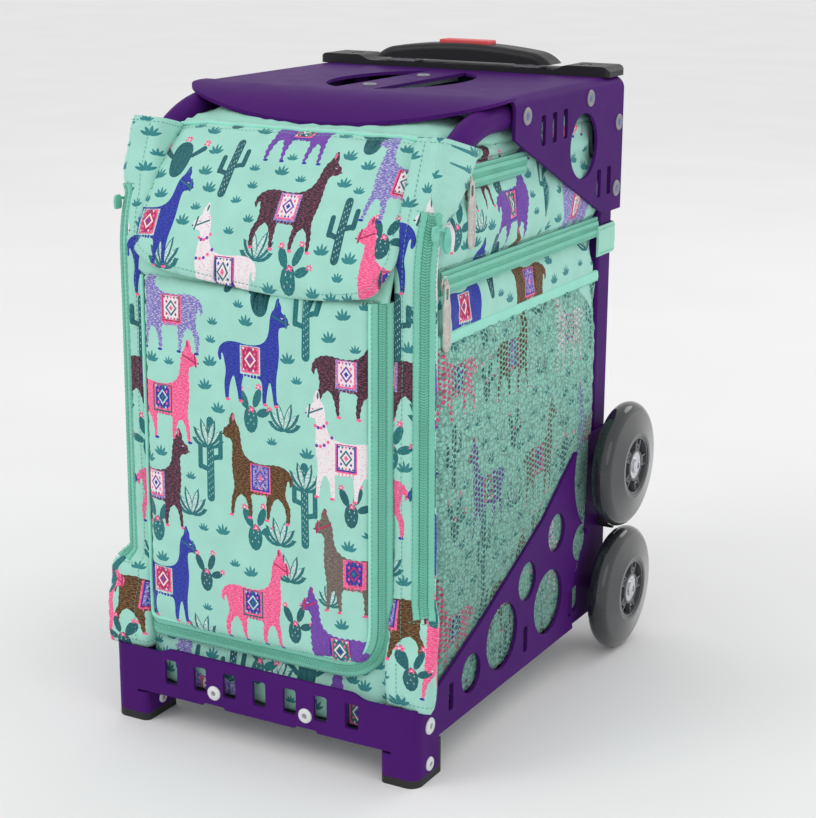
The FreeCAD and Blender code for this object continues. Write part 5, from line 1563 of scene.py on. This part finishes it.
turned_heads("rivet_heads", "frame_rivets", RIVET,
             [((s * PLATE_X, y, z), (s, 0, 0), 6.4) for s in (-1, 1)
              for y, z in ((156.9, 455.2), (267.8, 457.8), (324.2, 434.3), (322.8, 382.4))]
             + [((0, y, 470), (0, 0, 1), 5.2) for y in (161, 244)], [rivet_grey, rivet_core])
turned_heads("screw_heads", "frame_screws", SCREW,
             [head for s in (-1, 1) for head in (
                 ((s * 39.6, 0, 36.8), (0, -1, 0), 5.6), ((s * PLATE_X, 19.1, 42.2), (s, 0, 0), 6.2),
                 ((s * PLATE_X, 19.1, 13.1), (s, 0, 0), 5.2), ((s * 101.0, 19.1, 13.1), (-s, 0, 0), 4.5))],
             [screw_white, steel])

HUB_X, HUB_Y, SPOKE_PAIRS = 148.1, 318.3, 5
SPOKE = [(-0.75, -4.6), (-0.75, 0.1), (-0.4, 0.5), (0.4, 0.5), (0.75, 0.1), (0.75, -4.6)]


def build_hub(parts, side, z):
    """Rim, core, a near-black drum as painted shadow in the windows, and five pairs of thin spokes with a bored boss
    between them.
    """
    centre, axis = np.array([side * HUB_X, HUB_Y, z]), (side, 0, 0)

    def around(x, radius, angle):
        return centre + [x, radius * math.cos(angle), radius * math.sin(angle)]

    lathe(parts, [(-11.3, 22.2), (-11.3, 24.0), (11.3, 24.0), (11.3, 22.2)], centre, axis, 0, 72)
    lathe(parts, [(-11.0, 11.1), (-11.0, 12.2), (-10.4, 12.9), (10.4, 12.9), (11.0, 12.2), (11.0, 11.1)],
          centre, axis)
    # The drum, in painted shadow colour.
    lathe(parts, [(-5.5, 12.8), (-5.5, 22.3), (5.5, 22.3), (5.5, 12.8)], centre, axis, 1)
    for face in (-1, 1):
        for middle in full_turn(SPOKE_PAIRS):
            for turn in (-0.2, 0.2):
                a, b = middle + turn * 1.25, middle + turn * 0.9
                ends = [around(face * 9.8, r, t) for r, t in ((12.6, a), (17.5, (a + b) / 2), (22.6, b))]
                sweep(parts, facing(ends, (face, 0, 0)), SPOKE)
            lathe(parts, [(5.0, 1.1), (9.9, 1.1), (9.9, 2.6), (5.0, 2.6)], around(0, 15.2, middle), (face, 0, 0),
                  segments=16)


for side, word in SIDES:
    for level, z in (("lower", 51.4), ("upper", 158.1)):
        seam_piece(f"{level}_hub_spokes_{word}", f"{level}_wheel_{word}", f"{level}_hub_{word}",
                   lambda parts: build_hub(parts, side, z), [hub_grey, hub_shadow_drum])

# ---- CAD nodes that stay: material, width of the softened edges in millimetres, names ----
LOOKS = (
    (paint, 0.8, "rear_post_left rear_post_right"), (paint, 0.5, "base_shell seat_plate"),
    (paint, 0.4, "rear_panel rear_crossbar"), (paint, 0.3, "corner_brackets"),
    (paint, 0, "front_tube_left front_tube_right"), (steel, 0.5, "handle_outer_tubes"),
    (steel, 0.4, "handle_mid_tubes seat_brace"), (steel, 0.3, "floor_tray axle_spacers"),
    (steel, 0.2, "release_rods"), (bright, 0.4, "handle_inner_tubes cap_screws axle_nuts wheel_bearings"),
    (bright, 0.3, "axle_bolts"), (rubber, 1.0, "foot_caps"), (rubber, 0.8, "bump_stops"),
    (black, 1.2, "rear_cap handle_grip"), (black, 1.0, "handle_foot_block"), (red, 0.8, "release_button"),
    (wheel, 0.8, "lower_tyre_left lower_tyre_right upper_tyre_left upper_tyre_right"), (board, 0.5, "floor_board"),
)
for material, width, names in LOOKS:
    for name in names.split():
        for slot in nodes[name].material_slots:
            slot.material = material
        if width:
            edge = nodes[name].modifiers.new("edge", "BEVEL")
            edge.width = width * MM
            edge.segments = 2
            edge.limit_method = "ANGLE"
            edge.angle_limit = math.radians(32.0)
            edge.harden_normals = False

# ---- floor, light and camera ----
FLOOR_HALF = 30.0
ground = add_mesh("floor", [(x * FLOOR_HALF, y * FLOOR_HALF, 0) for x, y in ((-1, -1), (1, -1), (1, 1), (-1, 1))],
                  [(0, 1, 2, 3)], [floor_material()], mm=False)

world = bpy.data.worlds.new("studio")
world.use_nodes = True
bpy.context.scene.world = world
world.node_tree.nodes["Background"].inputs[0].default_value = (1.0, 1.0, 1.0, 1)
world.node_tree.nodes["Background"].inputs[1].default_value = 0.86


def lamp(name, place, target, size, power):
    data = bpy.data.lights.new(name, "AREA")
    data.shape = "DISK"
    data.size = size
    data.energy = power
    obj = bpy.data.objects.new(name, data)
    obj.location = place
    obj.rotation_euler = (Vector(target) - Vector(place)).to_track_quat("-Z", "Y").to_euler()
    bpy.context.scene.collection.objects.link(obj)


lamp("key", (-1.5, -2.0, 2.2), (0, 0, 0.25), 1.4, 16)
lamp("fill", (2.4, -1.2, 1.2), (0, 0, 0.25), 1.8, 6)
lamp("rim", (1.0, 2.2, 1.8), (0, 0, 0.3), 1.2, 7)

camera = bpy.data.objects.new("camera", bpy.data.cameras.new("camera"))
bpy.context.scene.collection.objects.link(camera)
bpy.context.scene.camera = camera
camera.data.lens = 82.65
camera.data.sensor_width = 36.0
camera.data.clip_start = 0.05
AZIMUTH, ELEVATION, ROLL = (math.radians(a) for a in (28.97, 15.50, 0.29))
back = Vector((math.sin(AZIMUTH) * math.cos(ELEVATION), -math.cos(AZIMUTH) * math.cos(ELEVATION),
               math.sin(ELEVATION)))
camera.location = (0.7046, -1.23475, 0.6102)
camera.rotation_mode = "QUATERNION"
turned = back.to_track_quat("Z", "Y").to_matrix() @ Matrix.Rotation(ROLL, 3, "Z")
camera.rotation_quaternion = turned.to_quaternion()
bpy.context.scene.view_settings.view_transform = "Standard"
